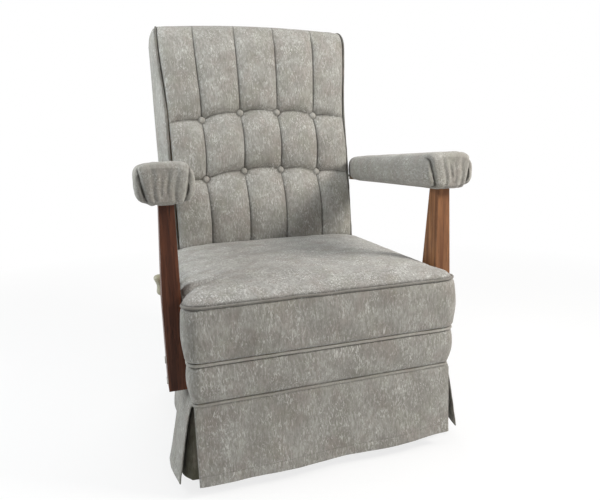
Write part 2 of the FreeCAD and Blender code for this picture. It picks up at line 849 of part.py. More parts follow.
def seat_springs():
    # zigzag wires from the front rail to the rear rail, held in folded clips
    front = front_y + size.pad_thick + size.rail_thick / 2
    rear = rear_y - size.pad_thick - size.rail_thick / 2
    level = size.rail_top + size.clip_thick + size.sinuous_radius
    loops = int((rear - front) / size.sinuous_pitch)
    pitch = (rear - front) / loops
    wires = []
    clips = []
    for lane in range(int(size.sinuous_count)):
        x = (lane - (size.sinuous_count - 1) / 2) * size.sinuous_spacing
        wires.append(zigzag(x, front, level, pitch, loops))
        for y in (front, rear):
            clips.append(clip(x, y, level))
    feature("sinuous_springs", Part.makeCompound(wires))
    feature("spring_clips", Part.makeCompound(clips))


def zigzag(x, front, level, pitch, loops):
    bend = pitch / 2
    straight = (size.sinuous_span - pitch) / 2
    way = 1
    point = Vector(x - way * straight, front, level)
    edges = []
    for i in range(loops + 1):
        across = Vector(x + way * straight, point.y, level)
        edges.append(Part.LineSegment(point, across).toShape())
        if i == loops:
            break
        turned = across + Vector(0, pitch, 0)
        through = across + Vector(way * bend, bend, 0)
        edges.append(Part.Arc(across, through, turned).toShape())
        point = turned
        way = -way
    start = Vector(x - straight, front, level)
    section = Part.Wire(Part.makeCircle(size.sinuous_radius, start, Vector(1, 0, 0)))
    return Part.Wire(edges).makePipeShell([section], True, False)


def clip(x, y, level):
    # strip folded round the wire's end run and nailed to the rail
    wide = size.sinuous_span * 0.3
    bore = size.sinuous_radius + 0.05
    outer = bore + size.clip_thick - 0.05
    roll = Part.makeCylinder(outer, wide, Vector(x - wide / 2, y, level), Vector(1, 0, 0))
    hole = Part.makeCylinder(bore, wide, Vector(x - wide / 2, y, level), Vector(1, 0, 0))
    return roll.cut(hole)


def seat_deck():
    low = "rail_top + 2 * clip_thick + 2 * sinuous_radius + cover_gap"
    node(box(("-" + RAIL_IN, RAIL_IN), ("front_y + pad_thick + rail_thick / 4", "front_y + seat_depth - 6"),
             (low, low + " + deck_thick")), "seat_deck")


node(group([rock_bush(-1), rock_bush(1)]), "rock_bushes")
drilled_plates()
node(group(each_spring(lambda x, y: cup(x, y, "rail_bottom - cup_height", False))), "upper_spring_cups")
cross_rails()
mechanism_bolts()
seat_frame()
seat_springs()
seat_deck()


# Seat covers: bands, cushion, welts and skirt

def box_wire(level, inset):
    return plan_wire(level, inset, front_y, rear_y, size.corner_radius - inset, size.rear_radius - inset * 0.8)


def border_bands():
    # padded strips between the middle and the lower welt, one on each side of the frame
    low = size.skirt_top + welt + size.cover_gap / 2
    high = size.band_top - welt - size.cover_gap / 2
    waist = (low + high) / 2
    ring = Part.makeLoft([box_wire(low, 1.0), box_wire(waist, 0.0), box_wire(high, 1.0)], True, False)
    frame = Part.makeBox(2 * (half_width - pad_in), box_depth - 2 * pad_in, high - low + 2,
                         Vector(-(half_width - pad_in), front_y + pad_in, low - 1))
    ring = ring.cut(frame)
    holes = []
    for y, z in post_bolt_places():
        for side in (-1, 1):
            start = Vector(side * (half_width - size.pad_thick - 1), y, z)
            holes.append(Part.makeCylinder(size.arm_bolt_radius + size.cover_gap, size.pad_thick + 4, start,
                                           Vector(side, 0, 0)))
    pipe = size.lock_shaft_radius + size.running_gap + size.bush_wall + size.cover_gap
    holes.append(Part.makeCylinder(pipe, size.pad_thick + 4,
                                   Vector(-(half_width - size.pad_thick - 1), size.axis_y + size.lock_y,
                                          size.lock_z),
                                   Vector(-1, 0, 0)))
    ring = ring.cut(Part.makeCompound(holes))
    front_cut = front_y + size.corner_radius + 2
    rear_cut = rear_y - size.rear_radius - 2
    tall = 3 * size.band_top
    wide = 2 * size.seat_width
    parts = {
        "front_band": Part.makeBox(2 * wide, front_cut - front_y + wide, tall, Vector(-wide, front_y - wide, 0)),
        "rear_band": Part.makeBox(2 * wide, wide, tall, Vector(-wide, rear_cut, 0)),
        "side_bands": Part.makeBox(2 * wide, rear_cut - front_cut, tall, Vector(-wide, front_cut, 0)),
    }
    for label, field in parts.items():
        feature(label, ring.common(field))


def post_bolt_places():
    ahead = front_y + size.post_front
    return ((ahead + size.post_bolt_front, size.skirt_top + size.post_bolt_low),
            (ahead + size.post_bolt_rear, size.band_top - size.post_bolt_high))


def cushion_wire(level, inset):
    # corners get rounder towards the top of the crown
    return plan_wire(level, inset, front_y, cushion_rear, size.corner_radius + inset * 0.15,
                     size.rear_radius + inset * 0.2)


cushion_rear = front_y + size.seat_depth - 3


def seat_cushion():
    # boxing with drawn-in sides, a neck behind the top welt and a crowned top
    low = size.band_top + welt + size.cover_gap / 2
    under_welt = size.seat_edge - welt - size.cover_gap / 2
    over_welt = size.seat_edge + welt + size.cover_gap / 2
    middle = (low + under_welt) / 2
    boxing = Part.makeLoft([cushion_wire(low, 1.0), cushion_wire(middle, 4.0), cushion_wire(under_welt, 0.5)],
                           True, False)
    neck = Part.makeLoft([cushion_wire(under_welt, notch), cushion_wire(over_welt, notch)], True, True)
    rise = size.crown - welt
    deep = cushion_rear - front_y
    # share of the rise, inset as a share of the cushion's depth
    levels = [(0.0, 0.0062), (0.22, 0.0165), (0.45, 0.0454), (0.74, 0.1237), (0.93, 0.2371), (1.0, 0.3608)]
    crown = Part.makeLoft([cushion_wire(over_welt + rise * up, deep * inset) for up, inset in levels], True, True)
    whole = boxing.fuse([neck, crown])
    springs_top = size.rail_top + 2 * size.clip_thick + 2 * size.sinuous_radius
    hollow_top = springs_top + size.deck_thick + 2 * size.cover_gap
    frame = Part.makeBox(2 * (half_width - pad_in), box_depth, hollow_top - low + 1,
                         Vector(-(half_width - pad_in), front_y + pad_in, low - 1))
    feature("seat_cushion", whole.cut(frame))


def welt_loop(level):
    # closed welt all round the seat box
    wire = plan_wire(level, welt, front_y, rear_y, size.corner_radius - welt, size.rear_radius - welt)
    edge = wire.Edges[0]
    start = edge.valueAt(edge.FirstParameter)
    way = edge.tangentAt(edge.FirstParameter)
    return wire.makePipeShell([Part.Wire(Part.makeCircle(welt, start, way))], True, False)


def side_path(level, rear):
    # open welt path: up the left side, round the front corners and back along the right side
    half = half_width - welt
    front = front_y + welt
    bend = size.corner_radius - welt
    turn = bend * (1 - math.sqrt(0.5))
    points = [Vector(-half, rear, level), Vector(-half, front + bend, level), Vector(-half + bend, front, level),
              Vector(half - bend, front, level), Vector(half, front + bend, level), Vector(half, rear, level)]
    edges = [Part.LineSegment(points[0], points[1]).toShape(),
             Part.Arc(points[1], Vector(-half + turn, front + turn, level), points[2]).toShape(),
             Part.LineSegment(points[2], points[3]).toShape(),
             Part.Arc(points[3], Vector(half - turn, front + turn, level), points[4]).toShape(),
             Part.LineSegment(points[4], points[5]).toShape()]
    section = Part.Wire(Part.makeCircle(welt, points[0], Vector(0, -1, 0)))
    return Part.Wire(edges).makePipeShell([section], True, False)


def seat_welts():
    top = side_path(size.seat_edge, cushion_rear - size.rear_radius)
    middle = welt_loop(size.band_top)
    low = welt_loop(size.skirt_top)
    feature("seat_welts", Part.makeCompound([top, middle, low]))


def wavy_wire(start, end, outward, level, thick, wave, ends):
    # one level of a hanging panel: shallow arcs along its outer face, the same again on its inner face
    along = end - start
    count = len(wave) - 1
    outer = []
    for i, out in enumerate(wave):
        outer.append(start + along * (i / count) + outward * (out + ends[0] + (ends[1] - ends[0]) * i / count))
    for point in outer:
        point.z = level
    inner = [point - outward * thick for point in outer]
    edges = []
    for i in range(0, count, 2):
        edges.append(Part.Arc(outer[i], outer[i + 1], outer[i + 2]).toShape())
    edges.append(Part.LineSegment(outer[-1], inner[-1]).toShape())
    for i in range(count, 0, -2):
        edges.append(Part.Arc(inner[i], inner[i - 1], inner[i - 2]).toShape())
    edges.append(Part.LineSegment(inner[0], outer[0]).toShape())
    return Part.Wire(edges)


def hanging_panel(start, end, outward, flare, wave):
    # top edge nearly straight under the welt, bottom edge flared and waved
    high = size.skirt_top - welt - size.cover_gap
    low = size.skirt_bottom
    sections = []
    for part, swing in ((0.0, 0.06), (0.45, 0.42), (1.0, 1.0)):
        level = high + (low - high) * part
        ends = (flare[0] * swing, flare[1] * swing)
        waves = [out * swing + (0.05 if i % 2 else 0.0) for i, out in enumerate(wave)]
        sections.append(wavy_wire(start, end, outward, level, size.skirt_thick, waves, ends))
    return Part.makeLoft(sections, True, False)


def skirt():
    # kick pleats part the panels at the four corners
    hang_in = 2.0
    reach = half_width - hang_in
    front = front_y + hang_in
    rear = rear_y - hang_in
    corner = size.corner_radius * 0.5
    ripple = size.skirt_wave
    front_wave = [0, ripple, -ripple * 0.4, ripple * 1.3, 0, -ripple * 0.8, 0, ripple * 1.2, 0]
    side_wave = [0, ripple * 0.8, 0, -ripple, 0, ripple * 1.2, 0]
    rear_wave = [0, ripple, 0, -ripple, 0, ripple, 0]
    feature("skirt_front", hanging_panel(Vector(-reach + corner, front, 0), Vector(reach - corner, front, 0),
                                         Vector(0, -1, 0), (3.0, 3.0), front_wave))
    feature("skirt_rear", hanging_panel(Vector(reach - corner, rear, 0), Vector(-reach + corner, rear, 0),
                                        Vector(0, 1, 0), (3.0, 3.0), rear_wave))
    for label, side in (("skirt_left", -1), ("skirt_right", 1)):
        ahead = Vector(side * reach, front + corner, 0)
        behind = Vector(side * reach, rear - corner, 0)
        feature(label, hanging_panel(ahead, behind, Vector(side, 0, 0),
                                     (size.skirt_flare, size.skirt_flare * 0.5), side_wave))
    pleats = []
    tuck = hang_in + size.skirt_thick + 1.0
    for side in (-1, 1):
        for way in (-1, 1):
            pleats.append(pleat(side, way, tuck))
    feature("skirt_pleats", Part.makeCompound(pleats))


def pleat(side, way, tuck):
    # underlay folded round a corner, behind the slit between two panels
    x = side * (half_width - tuck)
    y = front_y + tuck if way < 0 else rear_y - tuck
    thick = size.skirt_thick * 0.6
    run = size.pleat_width
    bend = 14.0 if way < 0 else 6.0
    sections = []
    for level, out in ((size.skirt_top - welt - size.cover_gap, 0.0), (size.skirt_bottom + 6, 3.0)):
        edges = []
        shell = []
        for inset in (0.0, thick):
            far_x = x + side * (out - inset)
            far_y = y + way * (0.0 - inset)
            turn = bend - inset
            shell.append([Vector(x - side * run, far_y, level), Vector(far_x - side * turn, far_y, level),
                          Vector(far_x - side * turn * (1 - math.sqrt(0.5)),
                                 far_y - way * turn * (1 - math.sqrt(0.5)), level),
                          Vector(far_x, far_y - way * turn, level), Vector(far_x, y - way * run, level)])
        outer, inner = shell
        edges.append(Part.LineSegment(outer[0], outer[1]).toShape())
        edges.append(Part.Arc(outer[1], outer[2], outer[3]).toShape())
        edges.append(Part.LineSegment(outer[3], outer[4]).toShape())
        edges.append(Part.LineSegment(outer[4], inner[4]).toShape())
        edges.append(Part.LineSegment(inner[4], inner[3]).toShape())
        edges.append(Part.Arc(inner[3], inner[2], inner[1]).toShape())
        edges.append(Part.LineSegment(inner[1], inner[0]).toShape())
        edges.append(Part.LineSegment(inner[0], outer[0]).toShape())
        sections.append(Part.Wire(edges))
    return Part.makeLoft(sections, True, True)


border_bands()
seat_cushion()
seat_welts()
skirt()


# Back, drawn square in its own frame (x across, y rearwards, z up the back) and then leaned

lean = Placement(Vector(0, front_y + size.seat_depth, size.seat_edge),
                 Rotation(Vector(1, 0, 0), -size.back_tilt))
cos_tilt = math.cos(math.radians(size.back_tilt))
sin_tilt = math.sin(math.radians(size.back_tilt))
stile_in = half_width - size.pad_thick - size.rail_thick - size.stile_thick
stile_out = stile_in + size.stile_thick
back_half = stile_out + size.back_side
stile_rear = size.stile_front + size.stile_depth
frame_top = size.back_height - size.back_lid
welt_front = welt + 1
welt_top = size.back_height - 2
side_front = welt_front + welt + size.cover_gap
side_top = welt_top - welt - size.cover_gap
shell_rear = size.back_thick - size.outside_thick


def leaned(shape):
    shape.Placement = lean
    return shape


def slab(x, y, z):
    return Part.makeBox(x[1] - x[0], y[1] - y[0], z[1] - z[0], Vector(x[0], y[0], z[0]))


def flat_below(level):
    # everything under a level of the room
    wide = 4 * size.seat_width
    return Part.makeBox(wide, wide, wide, Vector(-wide / 2, -wide / 2, level - wide))


def back_foot(level):
    # height up the back at which its front surface passes a level of the room
    return (level - size.seat_edge) / cos_tilt


def arm_bolt_place():
    # line along X where the arm's rear is bolted through the stile
    y_local = size.stile_front + size.stile_depth * 0.32
    rise = size.post_top - size.board_height * 0.1 - size.seat_edge
    z_local = (rise + y_local * sin_tilt) / cos_tilt
    point = lean.multVec(Vector(0, y_local, z_local))
    return point


def back_frame():
    foot = back_foot(size.stile_bottom) - stile_rear * sin_tilt
    hole = arm_bolt_place()
    stiles = []
    for side in (-1, 1):
        x = sorted((side * stile_in, side * stile_out))
        stile = leaned(slab(x, (size.stile_front, stile_rear), (foot, frame_top)))
        stile = stile.cut(flat_below(size.stile_bottom))
        way = Vector(side, 0, 0)
        bore = Part.makeCylinder(size.arm_bolt_radius, size.stile_thick + 2,
                                 Vector(side * (stile_in - 1), hole.y, hole.z), way)
        recess = Part.makeCylinder(size.arm_bolt_radius * 2, size.bolt_sink,
                                   Vector(side * stile_in, hole.y, hole.z), way)
        stiles.append(stile.cut(bore).cut(recess))
    feature("back_stiles", Part.makeCompound(stiles))
    behind_board = size.board_front + size.board_thick
    rails = []
    low = back_foot(size.rail_top) + 34
    # the middle rail lies under the knots of the upper row of buttons
    middle = size.row_high - size.button_radius - size.back_rail_height - 1
    for foot_z in (low, middle, frame_top - size.back_rail_height):
        rails.append(leaned(slab((-stile_in, stile_in), (behind_board, stile_rear),
                                 (foot_z, foot_z + size.back_rail_height))))
    feature("back_rails", Part.makeCompound(rails))
    board = slab((-stile_in, stile_in), (size.board_front, behind_board), (0, frame_top))
    holes = []
    for x, z in tufts():
        holes.append(Part.makeCylinder(1.5, 2 * behind_board, Vector(x, 0, z), Vector(0, 1, 0)))
    feature("back_board", leaned(board.cut(Part.makeCompound(holes))))


def tufts():
    places = []
    for z in (size.row_low, size.row_high):
        for x in (-size.seam_outer, -size.seam_inner, size.seam_inner, size.seam_outer):
            places.append((x, z))
    return places


def cushion_section(seams, level, depths, bulges):
    # plan of the cushion at one height: an arc for each channel, stepped round the stiles behind
    gap = size.cover_gap
    rear = size.board_front
    step = size.stile_front - gap
    front = [Vector(x, depth, level) for x, depth in zip(seams, depths)]
    edges = []
    for i, bulge in enumerate(bulges):
        middle = (front[i] + front[i + 1]) * 0.5 - Vector(0, bulge, 0)
        edges.append(Part.Arc(front[i], middle, front[i + 1]).toShape())
    inner = stile_in - gap
    behind = [front[-1], Vector(seams[-1], step, level), Vector(inner, step, level), Vector(inner, rear, level),
              Vector(-inner, rear, level), Vector(-inner, step, level), Vector(seams[0], step, level), front[0]]
    for start, end in zip(behind[:-1], behind[1:]):
        edges.append(Part.LineSegment(start, end).toShape())
    return Part.Wire(edges)


def back_cushion():
    # five channels between the side seams, pulled in at two rows of buttons and rolled over the top
    edge = back_half - 2 * welt
    seams = [-edge, -size.seam_outer, -size.seam_inner, size.seam_inner, size.seam_outer, edge]
    top = size.back_height
    bulge = size.channel_crown
    deep = size.tuft_depth
    low, high = size.row_low, size.row_high
    reach = size.channel_crown * 2.8
    # height up the back, depth of the seams, bulge of the channels
    levels = [(-10, bulge + 5, 0.4), (14, bulge + 1, 0.8), (50, bulge - 1, 1.1), (low - reach, bulge, 1.0),
              (low - reach / 3, bulge + 2, 0.8), (low, deep, 0.5), (low + reach / 3, bulge + 2, 0.8),
              (low + reach, bulge, 1.05), (high - reach, bulge, 1.05), (high - reach / 3, bulge + 2, 0.8),
              (high, deep, 0.5), (high + reach / 3, bulge + 2, 0.8), (high + reach, bulge, 1.0),
              (high + 3 * reach, bulge - 1, 1.1), (top - 60, bulge, 1.0), (top - 24, bulge + 2, 0.8),
              (top - 8, bulge + 5, 0.4), (top, bulge + 8, 0.1)]
    sections = []
    for level, depth, swell in levels:
        depths = [depth - 3 if i in (0, 5) else depth for i in range(6)]
        sections.append(cushion_section(seams, level, depths, [bulge * swell] * 5))
    whole = Part.makeLoft(sections, True, True).removeSplitter()
    wells = []
    for x, z in tufts():
        way = Vector(0, 1, 0)
        wells.append(Part.makeCylinder(1.5, 2 * size.board_front, Vector(x, -size.board_front / 2, z), way))
        wells.append(Part.makeCylinder(size.button_radius + size.cover_gap, size.board_front,
                                       Vector(x, button_face() - size.board_front, z), way))
    feature("back_cushion", leaned(whole.cut(Part.makeCompound(wells))))


def button_face():
    # depth of the buttons' flat backs
    return size.tuft_depth + 1.0


def tuft_buttons():
    buttons = []
    for x, z in tufts():
        face = button_face() - size.cover_gap
        dome_radius = (size.button_radius ** 2 + size.button_height ** 2) / (2 * size.button_height)
        ball_centre = Vector(x, face - size.button_height + dome_radius, z)
        dome = Part.makeSphere(dome_radius, ball_centre)
        dome = dome.common(Part.makeCylinder(size.button_radius, size.button_height + 2,
                                             Vector(x, face - size.button_height - 2, z), Vector(0, 1, 0)))
        twine = Part.makeCylinder(1.2, size.board_front + size.board_thick + 3 - face, Vector(x, face, z),
                                  Vector(0, 1, 0))
        behind_board = size.board_front + size.board_thick + 1
        knot = Part.makeCylinder(size.button_radius / 2, 2.0, Vector(x, behind_board, z), Vector(0, 1, 0))
        buttons.append(leaned(dome.fuse([twine, knot])))
    feature("tuft_buttons", Part.makeCompound(buttons))


def side_wedge():
    # padded left side of the back, wider at the rear than at the front welt
    front_x = back_half
    rear_x = front_x + size.back_spread
    inner_x = stile_out + size.cover_gap / 3
    low = back_foot(size.band_top) - size.side_tail
    bend = size.side_round
    ahead = side_front - 1
    corners = [Vector(inner_x, ahead, low), Vector(front_x, ahead, low),
               Vector((front_x + rear_x) / 2 + size.side_crown, size.back_thick / 2, low),
               Vector(rear_x, shell_rear - bend, low), Vector(rear_x - bend, shell_rear, low),
               Vector(inner_x, shell_rear, low)]
    face = Part.Wire([Part.LineSegment(corners[0], corners[1]).toShape(),
                      Part.Arc(corners[1], corners[2], corners[3]).toShape(),
                      Part.LineSegment(corners[3], corners[4]).toShape(),
                      Part.LineSegment(corners[4], corners[5]).toShape(),
                      Part.LineSegment(corners[5], corners[0]).toShape()])
    wedge = Part.Face(face).extrude(Vector(0, 0, size.back_height - low)).common(rolled_room(low))
    wedge = leaned(wedge).cut(flat_below(size.band_top + welt + size.cover_gap / 2))
    rail = frame_room()
    hole = arm_bolt_place()
    bore = Part.makeCylinder(size.arm_bolt_radius + size.cover_gap, size.back_thick,
                             Vector(inner_x - 2, hole.y, hole.z), Vector(1, 0, 0))
    return wedge.cut(rail).cut(bore)


def rolled_room(low):
    # side view of the back: its front edge rolls over into the top, just inside the welt
    turn = 1 - math.sqrt(0.5)
    bend = size.back_roll - welt - size.cover_gap
    wide = 2 * back_half
    far = shell_rear + wide
    low = low - wide
    corners = [Vector(-wide, side_front, low), Vector(-wide, side_front, side_top - bend),
               Vector(-wide, side_front + bend * turn, side_top - bend * turn),
               Vector(-wide, side_front + bend, side_top), Vector(-wide, far, side_top), Vector(-wide, far, low)]
    face = Part.Wire([Part.LineSegment(corners[0], corners[1]).toShape(),
                      Part.Arc(corners[1], corners[2], corners[3]).toShape(),
                      Part.LineSegment(corners[3], corners[4]).toShape(),
                      Part.LineSegment(corners[4], corners[5]).toShape(),
                      Part.LineSegment(corners[5], corners[0]).toShape()])
    return Part.Face(face).extrude(Vector(2 * wide, 0, 0))


def top_band():
    # padded lid over the board, the stiles and the top rail, turned down behind the rail
    across = back_half - notch
    under = frame_top + size.cover_gap
    over = size.back_height - welt
    lid = slab((-across, across), (size.stile_front, shell_rear), (under, over))
    lid = lid.cut(slab((-stile_in, stile_in), (0, size.board_front + size.cover_gap), (under, over)))
    foot = frame_top - size.back_rail_height
    behind = slab((-across, across), (stile_rear + size.cover_gap, shell_rear), (foot, over))
    return leaned(lid.fuse(behind).removeSplitter())


def back_shell():
    feature("back_boxing", Part.makeCompound(both_sides(side_wedge()) + [top_band()]))
    reach = back_half + size.back_spread - size.side_round
    rear_panel = leaned(slab((-reach, reach), (shell_rear, size.back_thick),
                             (back_foot(size.band_top) - size.side_tail, size.back_height - welt)))
    panel_foot = size.band_top + welt + size.cover_gap / 2
    feature("outside_back", rear_panel.cut(flat_below(panel_foot)).cut(frame_room()))
    feature("back_welts", Part.makeCompound(both_sides(back_welt())))


def back_welt():
    # piping up the front edge of the side, over the rounded top and back to the outside back
    x = back_half - welt
    y = welt_front
    over = size.back_roll
    top = welt_top
    points = [Vector(x, y, 3 * welt), Vector(x, y, top - over), Vector(x, y + over, top),
              Vector(x, shell_rear - 1, top)]
    turn = over * (1 - math.sqrt(0.5))
    path = Part.Wire([Part.LineSegment(points[0], points[1]).toShape(),
                      Part.Arc(points[1], Vector(x, y + turn, top - turn), points[2]).toShape(),
                      Part.LineSegment(points[2], points[3]).toShape()])
    section = Part.Wire(Part.makeCircle(welt, points[0], Vector(0, 0, 1)))
    return leaned(path.makePipeShell([section], True, False))


def frame_room():
    # room of the seat frame under its top, from the front to the outer face of the rear rail
    wide = half_width - size.pad_thick + size.cover_gap
    return Part.makeBox(2 * wide, box_depth - size.pad_thick + size.cover_gap, size.rail_top + size.cover_gap,
                        Vector(-wide, front_y, 0))


back_frame()
back_cushion()
tuft_buttons()
back_shell()


# Arms: tapered posts, boards and gathered pads

SLOPE_DROP = "tan(arm_slope)"
arm_middle = half_width + size.post_gap + size.post_width_top / 2
arm_rest = Placement(Vector(0, front_y + size.post_front, size.post_top),
                     Rotation(Vector(1, 0, 0), -size.arm_slope))


def arm_post(side):
    # straight in front and inside, tapered behind and outside above the knee
    body = new_body()
    profile = sketch(body, "side")
    ahead = "front_y + post_front"
    outline(profile, [(ahead, "post_bottom"), (ahead + " + post_depth_low", "post_bottom"),
                      (ahead + " + post_depth_low", "post_knee"),
                      (ahead + " + post_depth_top", "post_top - post_depth_top * " + SLOPE_DROP),
                      (ahead, "post_top")])
    pad(body, profile, "post_width_low", POST_IN if side > 0 else "-(%s + post_width_low)" % POST_IN)
    taper = sketch(body, "front")
    sign = "" if side > 0 else "-"
    far = sign + "(%s + post_width_low)" % POST_IN
    outline(taper, [(far, "post_knee"), (sign + "(%s + post_width_top)" % POST_IN, "post_top + 1"),
                    (far, "post_top + 1")])
    pocket(body, taper, "post_depth_low + 2", "-(%s) + 1" % ahead)
    start = POST_IN if side > 0 else "-(%s + post_width_low)" % POST_IN
    holes = [rod("arm_bolt_radius", "post_width_low", start, "front_y + " + y, z, "x") for y, z in POST_BOLTS]
    middle = "%s(%s + post_width_top / 2)" % (sign, POST_IN)
    holes.append(rod("arm_screw_radius", "arm_screw_length", middle, ahead + " + post_depth_top / 2",
                     "post_top - arm_screw_length + board_height"))
    return cut(body, *holes)


def post_bolts():
    # carriage bolts: round head outside the post, nut inside the side rail
    bolts = []
    for side in (-1, 1):
        for y, z in post_bolt_places():
            inner = half_width - size.pad_thick - size.rail_thick
            outer = half_width + size.post_gap + size.post_width_low
            way = Vector(side, 0, 0)
            start = Vector(side * inner, y, z)
            shank = Part.makeCylinder(size.arm_bolt_radius, outer - inner, start, way)
            thick = size.arm_bolt_radius * 1.25
            nut_foot = Vector(side * (inner - thick), y, z)
            nut = Part.makeCylinder(size.arm_bolt_radius * 1.8, thick, nut_foot, way)
            head = Part.makeCylinder(size.arm_bolt_radius * 1.9, thick / 2, Vector(side * outer, y, z), way)
            bolts.append(shank.fuse([nut, head]))
    feature("post_bolts", Part.makeCompound(bolts))


board_low_x = arm_middle - size.board_width / 2
arm_end = size.seat_depth + size.arm_behind - size.post_front


def board_block(room):
    # in the arm's own frame: y rearwards from the post's front, z up from the post's top
    ahead = size.arm_front - size.post_front + size.board_ahead
    rear = arm_end - size.board_behind
    block = slab((board_low_x - room, board_low_x + size.board_width + room), (ahead - room, rear + room),
                 (-room, size.board_height + room))
    block.Placement = arm_rest
    return block


def arm_screw(head_radius, head_height):
    # down through the board into the post's top, its head sunk in the board
    foot = Vector(arm_middle, front_y + size.post_front + size.post_depth_top / 2,
                  size.post_top + size.board_height - size.arm_screw_length)
    seat = foot + Vector(0, 0, size.arm_screw_length - size.bolt_sink)
    shank = Part.makeCylinder(size.arm_screw_radius, size.arm_screw_length - size.bolt_sink, foot)
    return shank.fuse(Part.makeCylinder(head_radius, head_height, seat))


def arm_board():
    hole = arm_bolt_place()
    bore = Part.makeCylinder(size.arm_bolt_radius, size.board_width, Vector(board_low_x - 1, hole.y, hole.z),
                             Vector(1, 0, 0))
    return board_block(0).cut(bore).cut(arm_screw(size.arm_screw_radius * 2, size.board_height))


def arm_section(y, inner, outer, low, high):
    # domed top, sides fuller above than below, narrower flat underside
    tall = high - low
    middle = (inner + outer) / 2
    foot = (outer - inner) * 0.16
    shoulder = (outer - inner) * 0.06
    points = [Vector(inner + foot, y, low), Vector(outer - foot, y, low),
              Vector(outer, y, low + tall * 0.52), Vector(outer - shoulder, y, low + tall * 0.78),
              Vector(middle, y, high), Vector(inner + shoulder, y, low + tall * 0.78),
              Vector(inner, y, low + tall * 0.52)]
    return Part.Wire([Part.LineSegment(points[0], points[1]).toShape(),
                      Part.Arc(points[1], points[2], points[3]).toShape(),
                      Part.Arc(points[3], points[4], points[5]).toShape(),
                      Part.Arc(points[5], points[6], points[0]).toShape()])


def arm_pad():
    # stations from the front to the rear: how far along, then the sides, underside and top
    ahead = size.arm_front - size.post_front
    inner = half_width - size.arm_inset
    outer = half_width + size.arm_overhang
    top = size.arm_height
    long = arm_end - ahead
    wide = outer - inner
    beside = back_half + wide * 0.084
    stations = [(0.0, inner + wide * 0.13, outer - wide * 0.13, top * 0.082, top * 0.836),
                (0.0133, inner + wide * 0.037, outer - wide * 0.037, top * 0.014, top * 0.932),
                (0.0494, inner, outer, -top * 0.014, top),
                (0.171, inner + wide * 0.009, outer - wide * 0.009, -top * 0.014, top),
                (0.523, inner + wide * 0.019, outer - wide * 0.028, -top * 0.014, top * 0.973),
                (0.8194, inner + wide * 0.028, outer - wide * 0.047, -top * 0.014, top * 0.959),
                (0.9049, beside, outer - wide * 0.065, -top * 0.014, top * 0.945),
                (0.9772, beside + wide * 0.112, outer - wide * 0.112, top * 0.027, top * 0.89),
                (1.0, beside + wide * 0.215, outer - wide * 0.224, top * 0.164, top * 0.726)]
    sections = [arm_section(ahead + long * share, *limits) for share, *limits in stations]
    shape = Part.makeLoft(sections, True, True)
    shape.Placement = arm_rest
    return shape


def stile_bolt():
    # through the back's stile into the rear end of the arm's board, its head sunk in the stile
    place_bolt = arm_bolt_place()
    radius = size.arm_bolt_radius
    head_high = size.arm_bolt_radius * 1.25
    start = Vector(stile_in + size.bolt_sink - head_high, place_bolt.y, place_bolt.z)
    end_x = board_low_x + size.board_width * 0.7
    bolt = Part.makeCylinder(radius, end_x - start.x, start, Vector(1, 0, 0))
    return bolt.fuse(Part.makeCylinder(radius * 1.8, head_high, start, Vector(1, 0, 0)))


def arms():
    for label, side in (("left", -1), ("right", 1)):
        node(arm_post(side), "arm_post_" + label)
    post_bolts()
    gap = size.cover_gap
    hole = arm_bolt_place()
    bolt_room = Part.makeCylinder(size.arm_bolt_radius + gap, 2 * size.board_width,
                                  Vector(stile_out, hole.y, hole.z), Vector(1, 0, 0))
    post_room = Part.makeBox(size.post_width_top + 2 * gap + 2, size.post_depth_top + 2 * gap + 2, 4,
                             Vector(half_width + size.post_gap - gap, front_y + size.post_front - gap,
                                    size.post_top - 4))
    right, left = both_sides(arm_pad().cut(Part.makeCompound([board_block(gap), bolt_room, post_room])))
    feature("arm_pad_right", right)
    feature("arm_pad_left", left)
    feature("arm_boards", Part.makeCompound(both_sides(arm_board())))
    screw = arm_screw(size.arm_screw_radius * 1.8, size.arm_screw_radius)
    feature("arm_bolts", Part.makeCompound(both_sides(stile_bolt()) + both_sides(screw)))


arms()


# Rock lock: pipe through the left side rail, bent lever with its paddle, and the brake shoe

def lever():
    x_out = "-(seat_width / 2 + post_gap * 2)"
    bore = "lock_shaft_radius + running_gap"
    start = "-(%s) " % RAIL_OUT
    pipe_end = "sector_x - sector_thick - 1"
    pipe = tube(bore, bore + " + bush_wall", "%s - (%s)" % (pipe_end, start), start, LEVER_Y, "lock_z", "x")
    node(pipe, "lever_pipe")
    shaft = rod("lock_shaft_radius", "sector_x + sector_thick - (%s)" % x_out, x_out, LEVER_Y, "lock_z", "x")
    node(fuse(shaft, lever_arm()), "lock_lever")


def lever_arm():
    body = new_body()
    drawing = sketch(body, "side")
    half = "lock_shaft_radius * 1.5"
    top_y = "%s - lever_rise * tan(lever_lean)" % LEVER_Y
    top_z = "lock_z + lever_rise"
    outline(drawing, [(LEVER_Y + " - " + half, "lock_z - " + half), (LEVER_Y + " + " + half, "lock_z - " + half),
                      (LEVER_Y + " + " + half, "lock_z + " + half), (top_y + " + " + half, top_z),
                      (top_y + " - " + half, top_z), (LEVER_Y + " - " + half, "lock_z + " + half)])
    pad(body, drawing, "lever_thick", "-(seat_width / 2 + post_gap * 2 + lever_thick)")
    return body


